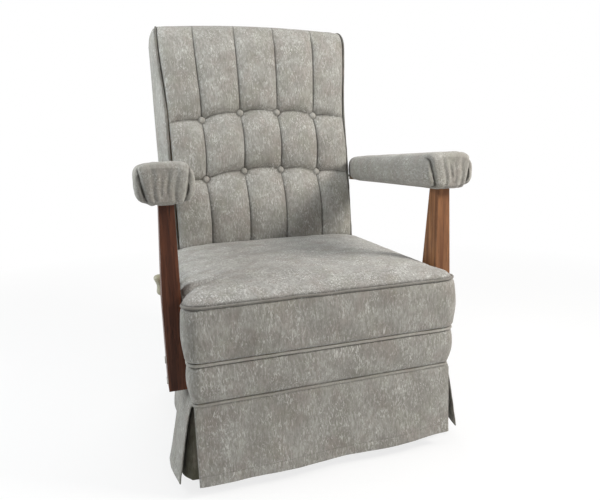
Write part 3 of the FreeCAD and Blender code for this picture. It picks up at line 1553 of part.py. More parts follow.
def paddle():
    # flared handle: wide rounded foot, narrow waist, pointed top
    x_in = -(half_width + size.post_gap * 2 + size.lever_thick)
    middle_y = size.axis_y + size.lock_y - size.lever_rise * math.tan(math.radians(size.lever_lean))
    low = size.lock_z + size.lever_rise - size.paddle_height * 0.7
    sections = []
    for up, deep, out in ((0.0, 10, 0.78), (0.15, 14, 0.9), (0.5, 12, 0.88), (0.75, 13, 0.98), (1.0, 5, 0.86)):
        z = low + size.paddle_height * up
        far = x_in - size.paddle_out * out
        a = Vector(x_in, middle_y - deep, z)
        b = Vector(x_in, middle_y + deep, z)
        c = Vector(far + deep * 0.5, middle_y + deep, z)
        d = Vector(far, middle_y, z)
        e = Vector(far + deep * 0.5, middle_y - deep, z)
        sections.append(Part.Wire([Part.LineSegment(a, b).toShape(), Part.LineSegment(b, c).toShape(),
                                   Part.Arc(c, d, e).toShape(), Part.LineSegment(e, a).toShape()]))
    feature("lever_paddle", Part.makeLoft(sections, True, False))


def lock_shoe():
    # rounded nose on the lever's shaft; at full swing it meets the sector's rim
    gap = math.hypot(size.lock_y, size.lock_z - size.axle_z) - size.sector_radius
    nose = gap * 0.42
    throw = gap - size.cover_gap - nose
    hub = size.lock_shaft_radius + 4
    towards = math.atan2(size.axle_z - size.lock_z, -size.lock_y)
    angle = towards + math.radians(size.lock_swing)
    centre = Vector(size.sector_x - size.sector_thick / 2, size.axis_y + size.lock_y, size.lock_z)
    tip = centre + Vector(0, math.cos(angle), math.sin(angle)) * throw
    way = Vector(1, 0, 0)
    shoe = Part.makeCylinder(hub, size.sector_thick, centre, way)
    shoe = shoe.fuse(Part.makeCylinder(nose, size.sector_thick, tip, way))
    bore = Part.makeCylinder(size.lock_shaft_radius, size.sector_thick, centre, way)
    feature("lock_shoe", shoe.cut(bore))


lever()
paddle()
lock_shoe()


# Check and write every piece

def main():
    doc.recompute()
    for piece in doc.Objects:
        if "Invalid" in piece.State or "Error" in piece.State:
            raise RuntimeError("failed: %s %s" % (piece.Label, piece.State))
    labels = [piece.Label for piece in nodes]
    if len(set(labels)) != len(labels) or len(labels) > 60:
        raise RuntimeError("labels repeat or are too many: %d" % len(labels))
    bad = [piece.Label for piece in nodes
           if piece.Shape.isNull() or not piece.Shape.isValid() or not piece.Shape.Solids]
    if bad:
        raise RuntimeError("bad shapes: " + ", ".join(bad))
    os.makedirs("parts", exist_ok=True)
    for piece in nodes:
        piece.Shape.exportStep(os.path.join("parts", piece.Label + ".step"))
    print("%d pieces written" % len(nodes))


main()
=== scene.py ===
import math
import bpy
import numpy as np
from mathutils import Matrix, Vector


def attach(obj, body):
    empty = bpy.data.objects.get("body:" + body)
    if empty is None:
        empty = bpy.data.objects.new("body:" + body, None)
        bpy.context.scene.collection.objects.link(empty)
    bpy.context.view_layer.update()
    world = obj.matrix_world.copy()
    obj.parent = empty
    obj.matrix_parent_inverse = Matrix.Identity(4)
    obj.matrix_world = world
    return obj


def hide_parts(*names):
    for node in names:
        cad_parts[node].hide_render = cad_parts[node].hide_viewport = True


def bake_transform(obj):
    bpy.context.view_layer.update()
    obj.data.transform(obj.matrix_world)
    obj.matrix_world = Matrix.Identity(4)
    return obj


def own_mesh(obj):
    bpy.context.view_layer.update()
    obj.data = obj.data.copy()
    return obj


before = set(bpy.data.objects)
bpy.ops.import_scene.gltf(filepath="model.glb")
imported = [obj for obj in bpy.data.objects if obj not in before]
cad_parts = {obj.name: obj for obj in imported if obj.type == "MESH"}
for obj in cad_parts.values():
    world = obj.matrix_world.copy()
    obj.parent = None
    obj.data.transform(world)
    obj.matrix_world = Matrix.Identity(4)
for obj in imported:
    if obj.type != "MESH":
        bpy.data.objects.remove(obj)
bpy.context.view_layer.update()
print("frame loaded:", len(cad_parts), "nodes")

# the leaning frames of reference that the back and the arms are drawn in
backPlace = Matrix.Translation((0, 0.154, 0.396)) @ Matrix.Rotation(math.radians(-7.2), 4, "X")
armPlace = Matrix.Translation((0, -0.264, 0.593)) @ Matrix.Rotation(math.radians(-1.6), 4, "X")
quarter = math.pi / 2


# Mesh helpers. Grids are arrays of points, rows by columns, in metres.

def smoothStep(low, high, value):
    part = np.clip((value - low) / (high - low), 0, 1)
    return part * part * (3 - 2 * part)


def bump(distance, width):
    return np.exp(-(distance / width) ** 2)


def arch(part):
    # rises from 0 to 1 and falls back to 0 as part goes from 0 to 1
    return np.sin(np.clip(part, 0, 1) * math.pi)


def unevenness(points, wavelength, seed):
    # gentle lumps between about -1 and 1, the same on every run
    dice = np.random.default_rng(seed)
    total = np.zeros(points.shape[:-1])
    for turn in range(7):
        way = dice.normal(size=3)
        way /= np.linalg.norm(way)
        length = wavelength * dice.uniform(0.7, 1.6)
        total += np.sin(points @ way * 2 * math.pi / length + dice.uniform(0, 6.28))
    return total / 4


def placed(points, matrix):
    turn = np.array(matrix.to_3x3())
    return points @ turn.T + np.array(matrix.translation)


def mirroredName(name, side):
    return name + ("Left" if side < 0 else "Right")


def gridFaces(rows, cols, start=0, wrapRows=False, wrapCols=False, flip=False):
    faces = []
    for r in range(rows if wrapRows else rows - 1):
        for c in range(cols if wrapCols else cols - 1):
            here, below = start + r * cols, start + ((r + 1) % rows) * cols
            a, b = here + c, here + (c + 1) % cols
            d, e = below + c, below + (c + 1) % cols
            faces.append((a, d, e, b) if flip else (a, b, e, d))
    return faces


def rimOf(rows, cols):
    # rows and columns of a grid's edge, in order round it
    rim = [(0, c) for c in range(cols)] + [(r, cols - 1) for r in range(1, rows)]
    return rim + [(rows - 1, c) for c in range(cols - 2, -1, -1)] + [(r, 0) for r in range(rows - 2, 0, -1)]


def gridNormals(grid):
    normal = np.cross(np.gradient(grid, axis=1), np.gradient(grid, axis=0))
    return normal / np.maximum(np.linalg.norm(normal, axis=2, keepdims=True), 1e-12)


def pointsOf(piece):
    points = np.empty(len(piece.data.vertices) * 3)
    piece.data.vertices.foreach_get("co", points)
    return points.reshape(-1, 3)


def setPoints(piece, points):
    piece.data.vertices.foreach_set("co", points.ravel())
    piece.data.update()


def setCreaseShades(mesh, creaseShades):
    mesh.attributes["crease"].data.foreach_set("value", np.clip(creaseShades, 0, 1).astype(np.float32))


def makePiece(name, points, faces, creaseShades=None):
    # a smooth mesh with the faces turned the right way out, by the sign of its volume
    mesh = bpy.data.meshes.new(name)
    mesh.from_pydata([tuple(p) for p in points], [], faces)
    mesh.polygons.foreach_set("use_smooth", [True] * len(mesh.polygons))
    mesh.attributes.new("crease", "FLOAT", "POINT")
    if creaseShades is not None:
        setCreaseShades(mesh, creaseShades)
    mesh.update()
    piece = bpy.data.objects.new(name, mesh)
    bpy.context.scene.collection.objects.link(piece)
    return outward(piece)


def outward(piece):
    points = pointsOf(piece)
    volume = 0.0
    for face in piece.data.polygons:
        corners = points[list(face.vertices)]
        for i in range(1, len(corners) - 1):
            volume += np.dot(corners[0], np.cross(corners[i], corners[i + 1]))
    if volume < 0:
        piece.data.flip_normals()
    return piece


def pressed(piece, amounts, creaseShades):
    # moves each point inwards along its normal and marks where painted crease shade goes
    normals = np.empty(len(piece.data.vertices) * 3)
    piece.data.vertex_normals.foreach_get("vector", normals)
    setPoints(piece, pointsOf(piece) - normals.reshape(-1, 3) * amounts[:, None])
    setCreaseShades(piece.data, creaseShades)


def cushionFromSkin(name, skin, inside, creaseShades):
    # closed form between an outer skin and a plain inner face with the same layout
    rows, cols = skin.shape[:2]
    half = rows * cols
    faces = gridFaces(rows, cols) + gridFaces(rows, cols, half, flip=True)
    rim = [r * cols + c for r, c in rimOf(rows, cols)]
    for a, b in zip(rim, rim[1:] + rim[:1]):
        faces.append((a, half + a, half + b, b))
    points = np.concatenate([skin.reshape(-1, 3), inside.reshape(-1, 3)])
    return makePiece(name, points, faces, np.concatenate([creaseShades.ravel(), np.zeros(half)]))


def clothPanel(name, grid, thickness, creaseShades):
    # thin cloth with a rounded edge all round
    rows, cols = grid.shape[:2]
    half = rows * cols
    offset = gridNormals(grid) * thickness / 2
    rim = rimOf(rows, cols)
    edge = []
    for r, c in rim:
        out = np.zeros(3)
        if r in (0, rows - 1):
            out += grid[r, c] - grid[1 if r == 0 else rows - 2, c]
        if c in (0, cols - 1):
            out += grid[r, c] - grid[r, 1 if c == 0 else cols - 2]
        edge.append(grid[r, c] + out / max(np.linalg.norm(out), 1e-9) * thickness * 0.45)
    faces = gridFaces(rows, cols) + gridFaces(rows, cols, half, flip=True)
    for i, (r, c) in enumerate(rim):
        follow = (i + 1) % len(rim)
        n, m = rim[follow]
        a, b = r * cols + c, n * cols + m
        e, f = 2 * half + i, 2 * half + follow
        faces += [(b, a, e, f), (half + a, half + b, f, e)]
    points = np.concatenate([(grid + offset).reshape(-1, 3), (grid - offset).reshape(-1, 3), np.array(edge)])
    # painted shade: the back face takes a weaker copy of the marks, and the rounded edge is darkened all round
    marks = np.concatenate([creaseShades.ravel(), creaseShades.ravel() * 0.6, np.full(len(edge), 0.25)])
    return makePiece(name, points, faces, marks)


def pipe(path, radius, sides=12, closed=False):
    # points and faces of piping along a line of points
    path = np.array(path)
    count = len(path)
    ahead = np.roll(path, -1, 0) - np.roll(path, 1, 0)
    if not closed:
        ahead[0] = path[1] - path[0]
        ahead[-1] = path[-1] - path[-2]
    ahead /= np.linalg.norm(ahead, axis=1, keepdims=True)
    side = np.cross(ahead, [0.02, 0.03, 1.0])
    if np.min(np.linalg.norm(side, axis=1)) < 0.3:
        side = np.cross(ahead, [1.0, 0.02, 0.03])
    side /= np.linalg.norm(side, axis=1, keepdims=True)
    up = np.cross(side, ahead)
    turns = np.linspace(0, 2 * math.pi, sides, endpoint=False)[None, :, None]
    rings = path[:, None] + radius * (np.cos(turns) * side[:, None] + np.sin(turns) * up[:, None])
    faces = gridFaces(count, sides, wrapRows=closed, wrapCols=True)
    if not closed:
        faces.append(tuple(range(sides - 1, -1, -1)))
        faces.append(tuple(range((count - 1) * sides, count * sides)))
    return rings.reshape(-1, 3), faces


def joined(name, parts, creaseShades=None):
    # one piece from several sets of points and faces, each with its own amount of painted crease shade
    faces, marks, start = [], [], 0
    for (points, someFaces), crease in zip(parts, creaseShades or [0.0] * len(parts)):
        faces += [tuple(start + i for i in face) for face in someFaces]
        marks.append(np.full(len(points), crease))
        start += len(points)
    return makePiece(name, np.concatenate([points for points, someFaces in parts]), faces, np.concatenate(marks))


# Node helpers for the materials. A value may be plain or come from another node.

def feed(tree, socket, value):
    if isinstance(value, bpy.types.NodeSocket):
        tree.links.new(value, socket)
    else:
        socket.default_value = value


def maths(tree, kind, first, second, nodeType="ShaderNodeMath"):
    node = tree.nodes.new(nodeType)
    node.operation = kind
    feed(tree, node.inputs[0], first)
    feed(tree, node.inputs[1], second)
    return node.outputs[0]


def times(tree, first, second):
    return maths(tree, "MULTIPLY", first, second)


def stretched(tree, place, scale):
    return maths(tree, "MULTIPLY", place, scale, "ShaderNodeVectorMath")


def noiseOf(tree, place, scale, detail, distortion=0.0, rough=0.5):
    node = tree.nodes.new("ShaderNodeTexNoise")
    for label, value in (("Vector", place), ("Scale", scale), ("Detail", detail), ("Roughness", rough),
                         ("Distortion", distortion)):
        feed(tree, node.inputs[label], value)
    return node.outputs["Fac"]


def ranged(tree, value, low, high, toLow=0.0, toHigh=1.0):
    node = tree.nodes.new("ShaderNodeMapRange")
    for label, number in (("Value", value), ("From Min", low), ("From Max", high), ("To Min", toLow),
                          ("To Max", toHigh)):
        feed(tree, node.inputs[label], number)
    return node.outputs["Result"]


def mottle(tree, place, scale, detail, low, high, distortion=0.0, rough=0.5):
    return ranged(tree, noiseOf(tree, place, scale, detail, distortion, rough), low, high)


def blended(tree, share, first, second):
    node = tree.nodes.new("ShaderNodeMix")
    node.data_type = "RGBA"
    for socket, value in ((node.inputs["Factor"], share), (node.inputs[6], first), (node.inputs[7], second)):
        feed(tree, socket, value)
    return node.outputs[2]


def newGroup(name, inputs):
    # every finish puts out a colour, a roughness and a height
    group = bpy.data.node_groups.new(name, "ShaderNodeTree")
    for label, value in inputs.items():
        kind = {1: "NodeSocketFloat", 3: "NodeSocketVector", 4: "NodeSocketColor"}[np.size(value)]
        group.interface.new_socket(name=label, in_out="INPUT", socket_type=kind).default_value = value
    for label, kind in (("Colour", "NodeSocketColor"), ("Roughness", "NodeSocketFloat"), ("Height", "NodeSocketFloat")):
        group.interface.new_socket(name=label, in_out="OUTPUT", socket_type=kind)
    return group, group.nodes.new("NodeGroupInput").outputs, group.nodes.new("NodeGroupOutput").inputs


def makeChenilleGroup():
    # short matted pile: clouds of tone, whitish crackled flecks, streaks along the nap, and near-black painted shade in
    # the marked creases
    group, give, take = newGroup("chenillePile", {
        "Place": (0, 0, 0), "Nap": (1, 1, 0.3), "Pile Colour": (0.4, 0.4, 0.37, 1),
        "Cloud Colour": (0.3, 0.29, 0.26, 1), "Fleck Colour": (0.6, 0.6, 0.58, 1), "Fleck Share": 0.5, "Crease": 0.0})
    shades = {"rose": (0.31, 0.262, 0.235, 1), "moss": (0.29, 0.295, 0.235, 1), "crease": (0.045, 0.042, 0.036, 1)}
    place, cloudColour = give["Place"], give["Cloud Colour"]
    napped = stretched(group, place, give["Nap"])
    clouds = mottle(group, place, 14, 4, 0.4, 0.64, rough=0.55)
    rose = mottle(group, stretched(group, place, (1.0, 1.3, 0.8)), 24, 3, 0.46, 0.64)
    moss = mottle(group, stretched(group, place, (-1.0, 1.1, 0.9)), 19, 2, 0.5, 0.66)
    streaks = mottle(group, napped, 210, 4, 0.36, 0.66, rough=0.65)
    patches = mottle(group, place, 34, 4, 0.38, 0.64)
    flecks = mottle(group, napped, 300, 3, 0.5, 0.66, distortion=1.2, rough=0.6)
    flecks = times(group, flecks, maths(group, "ADD", times(group, patches, 0.8), 0.2))
    flecks = times(group, flecks, give["Fleck Share"])
    colour = give["Pile Colour"]
    for share, weight, second in ((clouds, 0.6, cloudColour), (rose, 0.38, shades["rose"]),
                                  (moss, 0.32, shades["moss"]), (streaks, 0.68, cloudColour)):
        colour = blended(group, times(group, share, weight), colour, second)
    colour = blended(group, flecks, colour, give["Fleck Colour"])
    # the marks on the mesh darken the pile towards near-black: painted shade in creases, seams, folds and grooves
    feed(group, take["Colour"], blended(group, give["Crease"], colour, shades["crease"]))
    feed(group, take["Roughness"], ranged(group, flecks, 0, 1, 0.9, 0.72))
    height = maths(group, "ADD", times(group, streaks, 0.6), times(group, flecks, 0.7))
    feed(group, take["Height"], maths(group, "ADD", height, times(group, noiseOf(group, place, 1500, 1), 0.5)))
    return group


def makeGrainGroup():
    # straight open grain running up the piece
    plain = (0.5, 0.5, 0.5, 1)
    group, give, take = newGroup("straightGrain", {
        "Place": (0, 0, 0), "Early Colour": plain, "Late Colour": plain, "Pore Colour": plain, "Grain Scale": 60.0})
    place, scale = give["Place"], give["Grain Scale"]
    drawn = stretched(group, place, (1.0, 1.0, 0.045))
    bands = mottle(group, drawn, scale, 4, 0.4, 0.6, distortion=0.6)
    fine = mottle(group, drawn, times(group, scale, 5.0), 2, 0.4, 0.65)
    pores = mottle(group, stretched(group, place, (1.0, 1.0, 0.03)), times(group, scale, 14.0), 1, 0.6, 0.68)
    shade = mottle(group, stretched(group, place, (1.0, 1.0, 0.2)), 22, 2, 0.3, 0.75)
    colour = blended(group, bands, give["Early Colour"], give["Late Colour"])
    for share, weight, second in ((fine, 0.6, "Late Colour"), (shade, 0.25, "Early Colour"),
                                  (pores, 0.7, "Pore Colour")):
        colour = blended(group, times(group, share, weight), colour, give[second])
    feed(group, take["Colour"], colour)
    feed(group, take["Roughness"], ranged(group, bands, 0, 1, 0.36, 0.5))
    feed(group, take["Height"], maths(group, "SUBTRACT", times(group, fine, 0.3), pores))
    return group


def makeMarksGroup():
    # handling marks, scuffs and thin dust on metal, rubber and moulded plastic
    plain = (0.5, 0.5, 0.5, 1)
    group, give, take = newGroup("shopMarks", {
        "Place": (0, 0, 0), "Base Colour": plain, "Mark Colour": plain, "Mark Scale": 40.0, "Mark Share": 0.3,
        "Roughness Low": 0.3, "Roughness High": 0.5})
    marks = mottle(group, give["Place"], give["Mark Scale"], 5, 0.45, 0.7, distortion=0.5, rough=0.6)
    peel = noiseOf(group, give["Place"], times(group, give["Mark Scale"], 14.0), 2)
    share = times(group, marks, give["Mark Share"])
    feed(group, take["Colour"], blended(group, share, give["Base Colour"], give["Mark Colour"]))
    feed(group, take["Roughness"], ranged(group, marks, 0, 1, give["Roughness Low"], give["Roughness High"]))
    feed(group, take["Height"], maths(group, "ADD", peel, times(group, marks, 0.4)))
    return group


chenillePile = makeChenilleGroup()
straightGrain = makeGrainGroup()
shopMarks = makeMarksGroup()


def finish(name, group, values, distance, strength=0.6, metal=0.0, sheen=0.0, coat=0.0, specular=0.5, creaseShaded=False):
    material = bpy.data.materials.new(name)
    material.use_nodes = True
    tree = material.node_tree
    shader = tree.nodes["Principled BSDF"]
    effect = tree.nodes.new("ShaderNodeGroup")
    effect.node_tree = group
    feed(tree, effect.inputs["Place"], tree.nodes.new("ShaderNodeTexCoord").outputs["Object"])
    for label, value in values.items():
        effect.inputs[label].default_value = value
    # the marks on the mesh bring the painted crease shade into the colour
    if creaseShaded:
        mark = tree.nodes.new("ShaderNodeAttribute")
        mark.attribute_name = "crease"
        feed(tree, effect.inputs["Crease"], mark.outputs["Fac"])
    relief = tree.nodes.new("ShaderNodeBump")
    relief.inputs["Strength"].default_value = strength
    relief.inputs["Distance"].default_value = distance
    feed(tree, relief.inputs["Height"], effect.outputs["Height"])
    for label, value in (("Base Color", effect.outputs["Colour"]), ("Roughness", effect.outputs["Roughness"]),
                         ("Normal", relief.outputs["Normal"]), ("Metallic", metal), ("Sheen Weight", sheen),
                         ("Sheen Roughness", 0.45), ("Coat Weight", coat), ("Coat Roughness", 0.25),
                         ("Specular IOR Level", specular)):
        feed(tree, shader.inputs[label], value)
    return material


def pile(name, colour, cloud, fleck, share, nap=(1.0, 1.0, 0.3)):
    values = {"Nap": nap, "Pile Colour": colour + (1,), "Cloud Colour": cloud + (1,), "Fleck Colour": fleck + (1,),
              "Fleck Share": share}
    return finish(name, chenillePile, values, 0.0012, 0.5, sheen=0.12, specular=0.2, creaseShaded=True)


def grained(name, early, late, pore, scale, distance, specular):
    values = {"Early Colour": early + (1,), "Late Colour": late + (1,), "Pore Colour": pore + (1,),
              "Grain Scale": scale}
    return finish(name, straightGrain, values, distance, specular=specular)


def marked(name, base, mark, share, rough, metal=0.0, coat=0.0, scale=40.0, distance=0.0002):
    values = {"Base Colour": base + (1,), "Mark Colour": mark + (1,), "Mark Share": share, "Mark Scale": scale,
              "Roughness Low": rough[0], "Roughness High": rough[1]}
    return finish(name, shopMarks, values, distance, 0.4, metal=metal, coat=coat)


coverUpright = pile("chenilleUpright", (0.395, 0.388, 0.362), (0.2, 0.19, 0.168), (0.66, 0.655, 0.63), 0.74)
coverFlat = pile("chenilleSeatTop", (0.4, 0.395, 0.375), (0.21, 0.203, 0.186), (0.74, 0.735, 0.72), 0.9,
                 (1.0, 0.7, 1.0))
coverArm = pile("chenilleArms", (0.385, 0.376, 0.35), (0.235, 0.224, 0.2), (0.62, 0.615, 0.59), 0.6, (1.0, 0.4, 0.7))
coverWelt = pile("chenilleWelt", (0.42, 0.41, 0.38), (0.28, 0.268, 0.24), (0.6, 0.595, 0.57), 0.4, (1.0, 1.0, 1.0))
# the back piping is the welt fabric made dark: painted shade of its groove
coverBackWeltShaded = pile("chenilleBackWeltShaded", (0.16, 0.156, 0.14), (0.1, 0.097, 0.085), (0.32, 0.315, 0.295), 0.35)
# the underlay behind the slits is coloured a dark olive: painted shade
coverPleatShaded = pile("pleatLiningShaded", (0.115, 0.108, 0.078), (0.075, 0.07, 0.048), (0.18, 0.17, 0.13), 0.35)
coverButton = pile("chenilleButtons", (0.42, 0.41, 0.38), (0.27, 0.258, 0.23), (0.62, 0.615, 0.59), 0.5)

# one wood in two copies: a shaded one painted dark for the posts, and a lit one painted pale for the right post
postShaded = grained("postWoodShaded", (0.15, 0.053, 0.026), (0.05, 0.017, 0.0095), (0.014, 0.006, 0.004), 60, 0.0005, 0.2)
postLit = grained("postWoodLit", (0.38, 0.18, 0.08), (0.14, 0.058, 0.027), (0.045, 0.02, 0.012), 60, 0.0005, 0.25)
frameWood = grained("frameHardwood", (0.55, 0.38, 0.22), (0.4, 0.26, 0.14), (0.2, 0.12, 0.07), 30, 0.0004, 0.5)

finishes = {
    "hardboard": marked("hardboard", (0.2, 0.115, 0.06), (0.13, 0.07, 0.035), 0.6, (0.6, 0.8), scale=90.0),
    "deck_cloth": marked("deckCloth", (0.03, 0.03, 0.032), (0.06, 0.06, 0.06), 0.5, (0.85, 0.95), scale=300.0,
                         distance=0.0006),
    "black_steel": marked("blackPaintedSteel", (0.022, 0.022, 0.024), (0.09, 0.085, 0.08), 0.35, (0.38, 0.6)),
    "zinc_steel": marked("zincPlatedSteel", (0.56, 0.56, 0.55), (0.36, 0.36, 0.35), 0.6, (0.3, 0.5), 1.0),
    "bolt_steel": marked("boltSteel", (0.48, 0.47, 0.44), (0.25, 0.24, 0.22), 0.6, (0.3, 0.5), 1.0, scale=120.0),
    "ball_steel": marked("ballSteel", (0.7, 0.7, 0.7), (0.5, 0.5, 0.5), 0.3, (0.1, 0.2), 1.0, scale=200.0),
    "spring_steel": marked("springSteel", (0.12, 0.12, 0.125), (0.3, 0.28, 0.26), 0.3, (0.3, 0.45), 0.9, scale=150.0),
    "bronze": marked("sinteredBronze", (0.5, 0.33, 0.14), (0.28, 0.17, 0.07), 0.5, (0.35, 0.5), 1.0, scale=200.0),
    "bush_plastic": marked("bushNylon", (0.72, 0.7, 0.64), (0.5, 0.47, 0.4), 0.3, (0.4, 0.55)),
    "glide_plastic": marked("glidePlastic", (0.05, 0.05, 0.05), (0.16, 0.155, 0.15), 0.5, (0.4, 0.65)),
    "bumper_rubber": marked("bumperRubber", (0.02, 0.02, 0.02), (0.08, 0.078, 0.075), 0.4, (0.65, 0.85)),
    "lever_plastic": marked("leverPlastic", (0.33, 0.31, 0.22), (0.22, 0.2, 0.14), 0.3, (0.35, 0.5), coat=0.1),
    "frame_wood": frameWood, "post_wood": postShaded, "cover_fabric": coverUpright, "welt_fabric": coverWelt,
    "pleat_lining": coverPleatShaded, "button_fabric": coverButton,
}
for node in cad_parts.values():
    for slot in node.material_slots:
        label = slot.material.name.split(".")[0] if slot.material else ""
        if label in finishes:
            slot.material = finishes[label]
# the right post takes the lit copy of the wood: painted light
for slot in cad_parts["arm_post_right"].material_slots:
    slot.material = postLit
print("finishes made")


def dress(piece, material, slot, *stands):
    # every covered piece rides on the seat, in place of the plain solids it stands for
    piece.data.materials.clear()
    piece.data.materials.append(material)
    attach(piece, "seat")
    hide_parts(*stands)


# Back

backForm = {
    "edge": 0.253, "seams": (0.163, 0.054),  # half widths of the face and to the seams between the channels
    "rows": ((0.208, 0.227, 0.227, 0.217), (0.371, 0.390, 0.390, 0.380)), "rowEnd": 0.008,  # heights of the buttons
    "seamBow": 0.005, "seamDepth": 0.0115, "sideDepth": 0.006, "tuftDepth": 0.0085,
    "crown": 0.0135, "swells": (0.016, 0.012, 0.009),  # of each channel, and of the face from the seat upwards
    "foldBow": 0.008, "foldAbove": 0.009, "foldBelow": 0.017, "pleats": 9, "pleatDepth": 0.0013,
    "rollStart": 0.578, "rollRadius": 0.052, "topEnd": 0.102, "topFall": 0.012, "topBow": 0.0095,
    "topSpread": 0.048, "acrossEach": 26, "step": 0.0032, "foot": -0.012, "thick": 0.034, "fill": 0.75}


def rowHeights(row):
    # height of one row of buttons at the six seams, falling away towards the sides
    heights = backForm["rows"][row]
    return np.array([heights[0] - backForm["rowEnd"], *heights, heights[3] - backForm["rowEnd"]])


def widened(points):
    # the face is a little wider towards the top
    y, z = points[..., 1], points[..., 2]
    points[..., 0] *= 1 + backForm["topSpread"] * smoothStep(0.38, 0.6, z) * np.clip(1 - y / 0.1, 0, 1)
    points[..., 0] += np.where(points[..., 0] > 0.2, 0.004, 0) * smoothStep(0.4, 0.2, z) * np.clip(1 - y / 0.03, 0, 1)
    return points


def backPath(length):
    # side view of the cushion's face: up the front, over the roll and back along the top
    start, turn = backForm["rollStart"], backForm["rollRadius"]
    angle = np.clip((length - start) / turn, 0, quarter)
    flat = np.maximum(length - start - turn * quarter, 0)
    y = turn * (1 - np.cos(angle)) + flat
    z = np.minimum(length, start) + turn * np.sin(angle)
    z -= backForm["topFall"] * (flat / (backForm["topEnd"] - turn)) ** 2
    return y, z, np.sin(angle), np.cos(angle)


def backCushion():
    form = backForm
    edge, start = form["edge"], form["rollStart"]
    outer, inner = form["seams"]
    seams = [-edge, -outer, -inner, inner, outer, edge]
    across, along, channel = [], [], []
    for k in range(5):
        t = np.linspace(-1, 1, form["acrossEach"] + 1)[:-1]
        u = np.sin(t * quarter) * 0.6 + t * 0.4
        across += list(seams[k] + (u + 1) / 2 * (seams[k + 1] - seams[k]))
        along += list(u)
        channel += [k] * len(u)
    across, along, channel = np.array(across + [edge]), np.array(along + [1.0]), np.array(channel + [4])
    total = start + form["rollRadius"] * quarter + form["topEnd"] - form["rollRadius"]
    length = np.arange(form["foot"], total, form["step"])
    x, s = np.meshgrid(across, length)
    u = np.tile(along, (len(length), 1))  # from -1 to 1 across a channel
    k = np.tile(channel, (len(length), 1))
    first, last = (k == 0) & (u < 0), (k == 4) & (u > 0)  # the halves beside the edges of the face
    points = np.stack([x, np.zeros_like(x), s], axis=-1)
    portion = (u + 1) / 2
    low, high = (rowHeights(row)[k] * (1 - portion) + rowHeights(row)[k + 1] * portion for row in (0, 1))

    # the whole face swells between the rows of buttons and over the seat
    swell = form["swells"][0] * arch((s + 0.01) / (low + 0.01)) ** 0.9
    swell += form["swells"][1] * arch((s - low) / (high - low))
    swell += form["swells"][2] * arch((s - high) / (start + 0.03 - high)) ** 0.8
    swell *= 1 - 0.55 * (np.abs(x) / edge) ** 4
    tight = form["seamDepth"] + (form["sideDepth"] - form["seamDepth"]) * np.abs(u) * (first | last)
    crown = form["crown"] * (1 - 0.35 * smoothStep(start - 0.02, start + 0.05, s))
    crown *= 1 + 0.1 * unevenness(points * [1, 1, 0.4], 0.11, 4)
    rise = np.clip(1 - np.abs(u) ** 2.6, 0, 1) ** 0.6

    # folds run from button to button
    fold, mark = np.zeros_like(x), np.zeros_like(x)
    for r, base in enumerate((low, high)):
        middle = base + np.where((k == 0) | (k == 4), form["foldBow"] / 2, form["foldBow"]) * (1 - u ** 2)
        off = s - middle - 0.0012 * unevenness(points, 0.05, 20 + r)
        width = np.where(off > 0, form["foldAbove"], form["foldBelow"])
        side = np.where(first | last, 1 - 0.55 * np.abs(u) ** 3, 1.0)
        fold = np.maximum(fold, np.exp(-(np.abs(off) / width) ** 1.15) * side)
        # a thin line of painted shade runs along each fold
        mark = np.maximum(mark, bump(off, 0.002) * 0.7 * side)
    depth = tight - crown * rise * (1 - 0.85 * fold) - swell * (1 - 0.35 * fold)

    # each button is pulled in, with small pleats that fan out from it
    for row in form["rows"]:
        for seam, height in zip((-outer, -inner, inner, outer), row):
            near = np.hypot(x - seam, s - height)
            turn = np.arctan2(s - height, x - seam)
            depth += form["tuftDepth"] * np.exp(-(near / 0.02) ** 1.3)
            pleats = np.cos(turn * form["pleats"] + height * 40 + seam * 70)
            depth += form["pleatDepth"] * pleats * bump(near - 0.016, 0.011)
            # a ring of painted shade round each button
            mark = np.maximum(mark, bump(near - 0.0095, 0.003) * 0.5)
    # painted shade along the seams between the channels and at the edges of the face
    for seam in seams:
        mark = np.maximum(mark, bump(x - seam, 0.0014) * (0.7 if abs(seam) < edge else 0.5))
    depth += 0.0006 * unevenness(points * [1, 1, 0.5], 0.03, 9)
    # tucked in behind the seat at its foot
    depth += 0.012 * (1 - smoothStep(form["foot"], 0.03, s))
    # between the rows the stuffing pushes the seams a little to one side
    bow = arch(s / low) + 0.7 * arch((s - low) / (high - low))
    x = x + form["seamBow"] * bow * (1 - 0.6 * (x / edge) ** 4)
    y, z, way, face = backPath(s)
    # the seams are drawn nearly level over the roll
    over = smoothStep(0.3, 0.8, way)
    depth = depth * (1 - over) + (np.clip(depth, -0.004, 0.0016) - form["topBow"] * (1 - (x / edge) ** 2)) * over
    skin = np.stack([x, y + depth * face, z - depth * way], axis=-1)
    # the inner face keeps clear of the frame
    yIn, zIn = np.minimum(y + form["thick"] * face, 0.085), z - 0.012 * way
    ahead = np.abs(x) > 0.229
    yIn = np.where(ahead, np.minimum(yIn, np.maximum(0.021, y)), yIn)
    zIn = np.where(ahead & (yIn > 0.0213), np.maximum(zIn, 0.6085), zIn)
    inside = np.stack([x * 0.995, yIn, np.where(way > 0.99, np.minimum(0.609, z - 0.006), zIn)], axis=-1)
    layers = [placed(widened(layer), backPlace) for layer in (skin, inside)]
    piece = cushionFromSkin("backCushion", *layers, mark)
    dress(piece, coverUpright, "cover_fabric", "back_cushion")


sideForm = {"inner": 0.2542, "least": 0.0068, "spread": 0.024, "belly": 0.004, "front": 0.0068, "rear": 0.106,
            "top": 0.6245, "bend": 0.0465, "foot": -0.118, "low": 0.2846, "footOut": 0.2832, "fill": 0.8}


